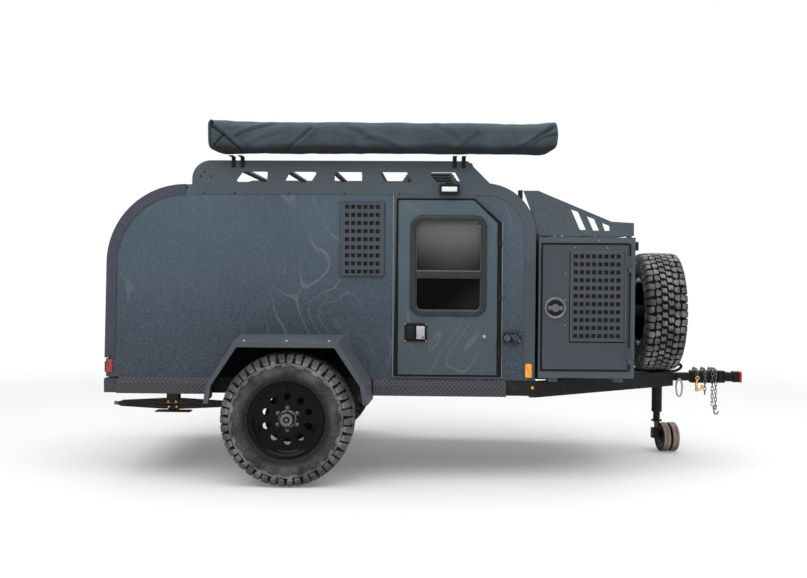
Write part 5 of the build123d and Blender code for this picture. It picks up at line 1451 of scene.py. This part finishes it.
def jack_rib(row, lean):
    """A rubber rib that slants across one half of a jack wheel's tread."""
    slant = lean * 0.0085
    half, length = 0.0036, 0.0105
    outline = (
        (slant - half, length), (slant + half, length), (half - slant, -length), (-half - slant, -length),
    )
    rings = []
    for shrink, radius in ((1.1, 0.1), (1.0, 0.1056), (0.86, 0.106)):
        ring = []
        for x, t in outline:
            angle = x * shrink / 0.106
            ring.append(Vector((radius * sin(angle), row + t * shrink, radius * cos(angle))))
        rings.append(ring)
    return skinned("rib", rings, jack_rubber, capped=True)


def make_jack_wheels():
    """Two tan wheels with slanted ribs on a dark tread base that is painted groove shade, dark faces and
    bolts, on the caster's stub axle.
    """
    placing = Matrix.Translation(hub_place) @ Matrix.Rotation(hub_turn, 4, "Z")
    half_width = 0.027
    half_tread = (
        (0.027, 0.088), (0.0262, 0.094), (0.0225, 0.0995), (0.017, 0.1022), (0.0012, 0.103),
    )
    near_face = (
        (0.0004, 0.0885), (0.006, 0.086), (0.01, 0.078), (0.01, 0.048), (0.003, 0.042),
        (0.0008, 0.03), (0.0008, 0.0081),
    )
    far_face = (
        (0.0004, 0.0885), (0.006, 0.086), (0.01, 0.078), (0.01, 0.03), (0.0008, 0.026),
        (0.0008, 0.0081),
    )
    parts = []
    for near in (0.012, 0.08):
        middle = near + half_width
        far = middle + half_width
        tread = [(middle - along, radius) for along, radius in half_tread] + [(middle, 0.1008)]
        tread += [(middle + along, radius) for along, radius in half_tread[::-1]]
        near_profile = [(near + along, radius) for along, radius in near_face]
        far_profile = [(far - along, radius) for along, radius in far_face]
        for profile, finish, steps in (
            (tread, jack_groove, 96), (near_profile, black_parts, 64), (far_profile, black_parts, 64),
        ):
            parts.append(settled(lathed("wheel", profile, finish, steps), placing))
        for side in (-1, 1):
            rib = jack_rib(middle + side * 0.0125, -side * 0.5)
            parts.append(in_ring(rib, 56, 0.0 if side < 0 else 0.056, hub_place, hub_turn))
        bolt = lathed("bolt", ((0.0, 0.006), (0.0045, 0.0056), (0.005, 0.0001)), hub_metal, 6)
        bolt.data.transform(Matrix.Rotation(pi, 4, "Z") @ Matrix.Translation((0, -near - 0.01, 0.062)))
        parts.append(in_ring(bolt, 5, 0.35, hub_place, hub_turn))
    ends = [placing @ Vector((0, along, 0)) for along in (-0.0064, 0.133)]
    parts.append(tube("stub_axle", ends, 0.008, hub_metal, "POLY", 16))
    wheels = joined("jack_wheel_pair", [smooth(part, 30) for part in parts])
    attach(wheels, "jack_wheels")
    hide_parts("jack_wheels")


make_chains()
make_jack_grip()
make_collar_rim()
make_jack_wheels()

# Light, floor and camera


def make_floor():
    """Pale floor that fades into a white surround, where the camera sees it."""
    finish = Finish("pale_floor")
    distance = finish.node("ShaderNodeVectorMath", {0: finish.place}, "Value", operation="LENGTH")
    far = finish.step(distance, 3.2, 7.5)
    ray = finish.node("ShaderNodeLightPath", output="Is Camera Ray")
    finish.surface(grey(0.93), 0.9)
    white = finish.node("ShaderNodeEmission", {"Color": grey(1), "Strength": 1.0})
    least_white = 0.16
    share = (least_white + (1 - least_white) * far) * ray
    mixed = finish.node("ShaderNodeMixShader", {0: share, 1: finish.shader.outputs[0], 2: white})
    feed(finish.tree, finish.tree.nodes["Material Output"].inputs["Surface"], mixed)
    corners = [(-60, -20, -0.001), (60, -20, -0.001), (60, 60, -0.001), (-60, 60, -0.001)]
    built("ground", corners, [(0, 1, 2, 3)], finish.material)


def make_surround():
    """A white world for the camera and for reflections, and a dim one for light."""
    world = bpy.data.worlds.new("surround")
    world.use_nodes = True
    bpy.context.scene.world = world
    tree = world.node_tree
    camera_ray = new_node(tree, "ShaderNodeLightPath", output="Is Camera Ray")
    glossy_ray = camera_ray.node.outputs["Is Glossy Ray"]
    seen = new_node(tree, "ShaderNodeMath", {0: camera_ray, 1: glossy_ray}, operation="MAXIMUM")
    dim, full = 0.17, 1.0
    strength = new_node(tree, "ShaderNodeMapRange", {0: seen, 3: dim, 4: full})
    background = tree.nodes["Background"]
    feed(tree, background.inputs["Color"], grey(1))
    feed(tree, background.inputs["Strength"], strength)


def make_lamp(name, place, target, size, watts):
    """A soft rectangular light that faces a target."""
    data = bpy.data.lights.new(name, "AREA")
    data.shape = "RECTANGLE"
    data.size, data.size_y = size
    data.energy = watts
    light = added(name, data)
    light.location = place
    light.rotation_euler = (Vector(target) - Vector(place)).to_track_quat("-Z", "Y").to_euler()


def make_camera():
    """The camera fitted to the photo."""
    yaw, pitch, roll = radians(1.604), radians(1.564), radians(0.372)
    ahead = Vector((-sin(yaw) * cos(pitch), cos(yaw) * cos(pitch), -sin(pitch)))
    level = Vector((cos(yaw), sin(yaw), 0))
    upright = level.cross(ahead)
    right = level * cos(roll) + upright * sin(roll)
    up = upright * cos(roll) - level * sin(roll)
    data = bpy.data.cameras.new("photo_view")
    data.lens = 44.52
    data.sensor_width = 36.0
    data.sensor_fit = "HORIZONTAL"
    camera = added("photo_view", data)
    turned = Matrix((right, up, -ahead)).transposed().to_4x4()
    camera.matrix_world = Matrix.Translation((-0.0463, -7.1588, 1.3979)) @ turned
    bpy.context.scene.camera = camera


make_floor()
make_surround()
make_lamp("overhead", (0.0, -0.9, 6.0), (0, 0, 0.5), (12.0, 9.0), 740)
make_lamp("front_soft", (-2.5, -7.5, 5.5), (0, 0, 1.2), (5.0, 3.5), 115)
make_lamp("rear_soft", (2.5, 7.5, 5.5), (0, 0, 1.2), (6.0, 4.0), 115)
make_camera()
bpy.context.scene.view_settings.view_transform = "Standard"
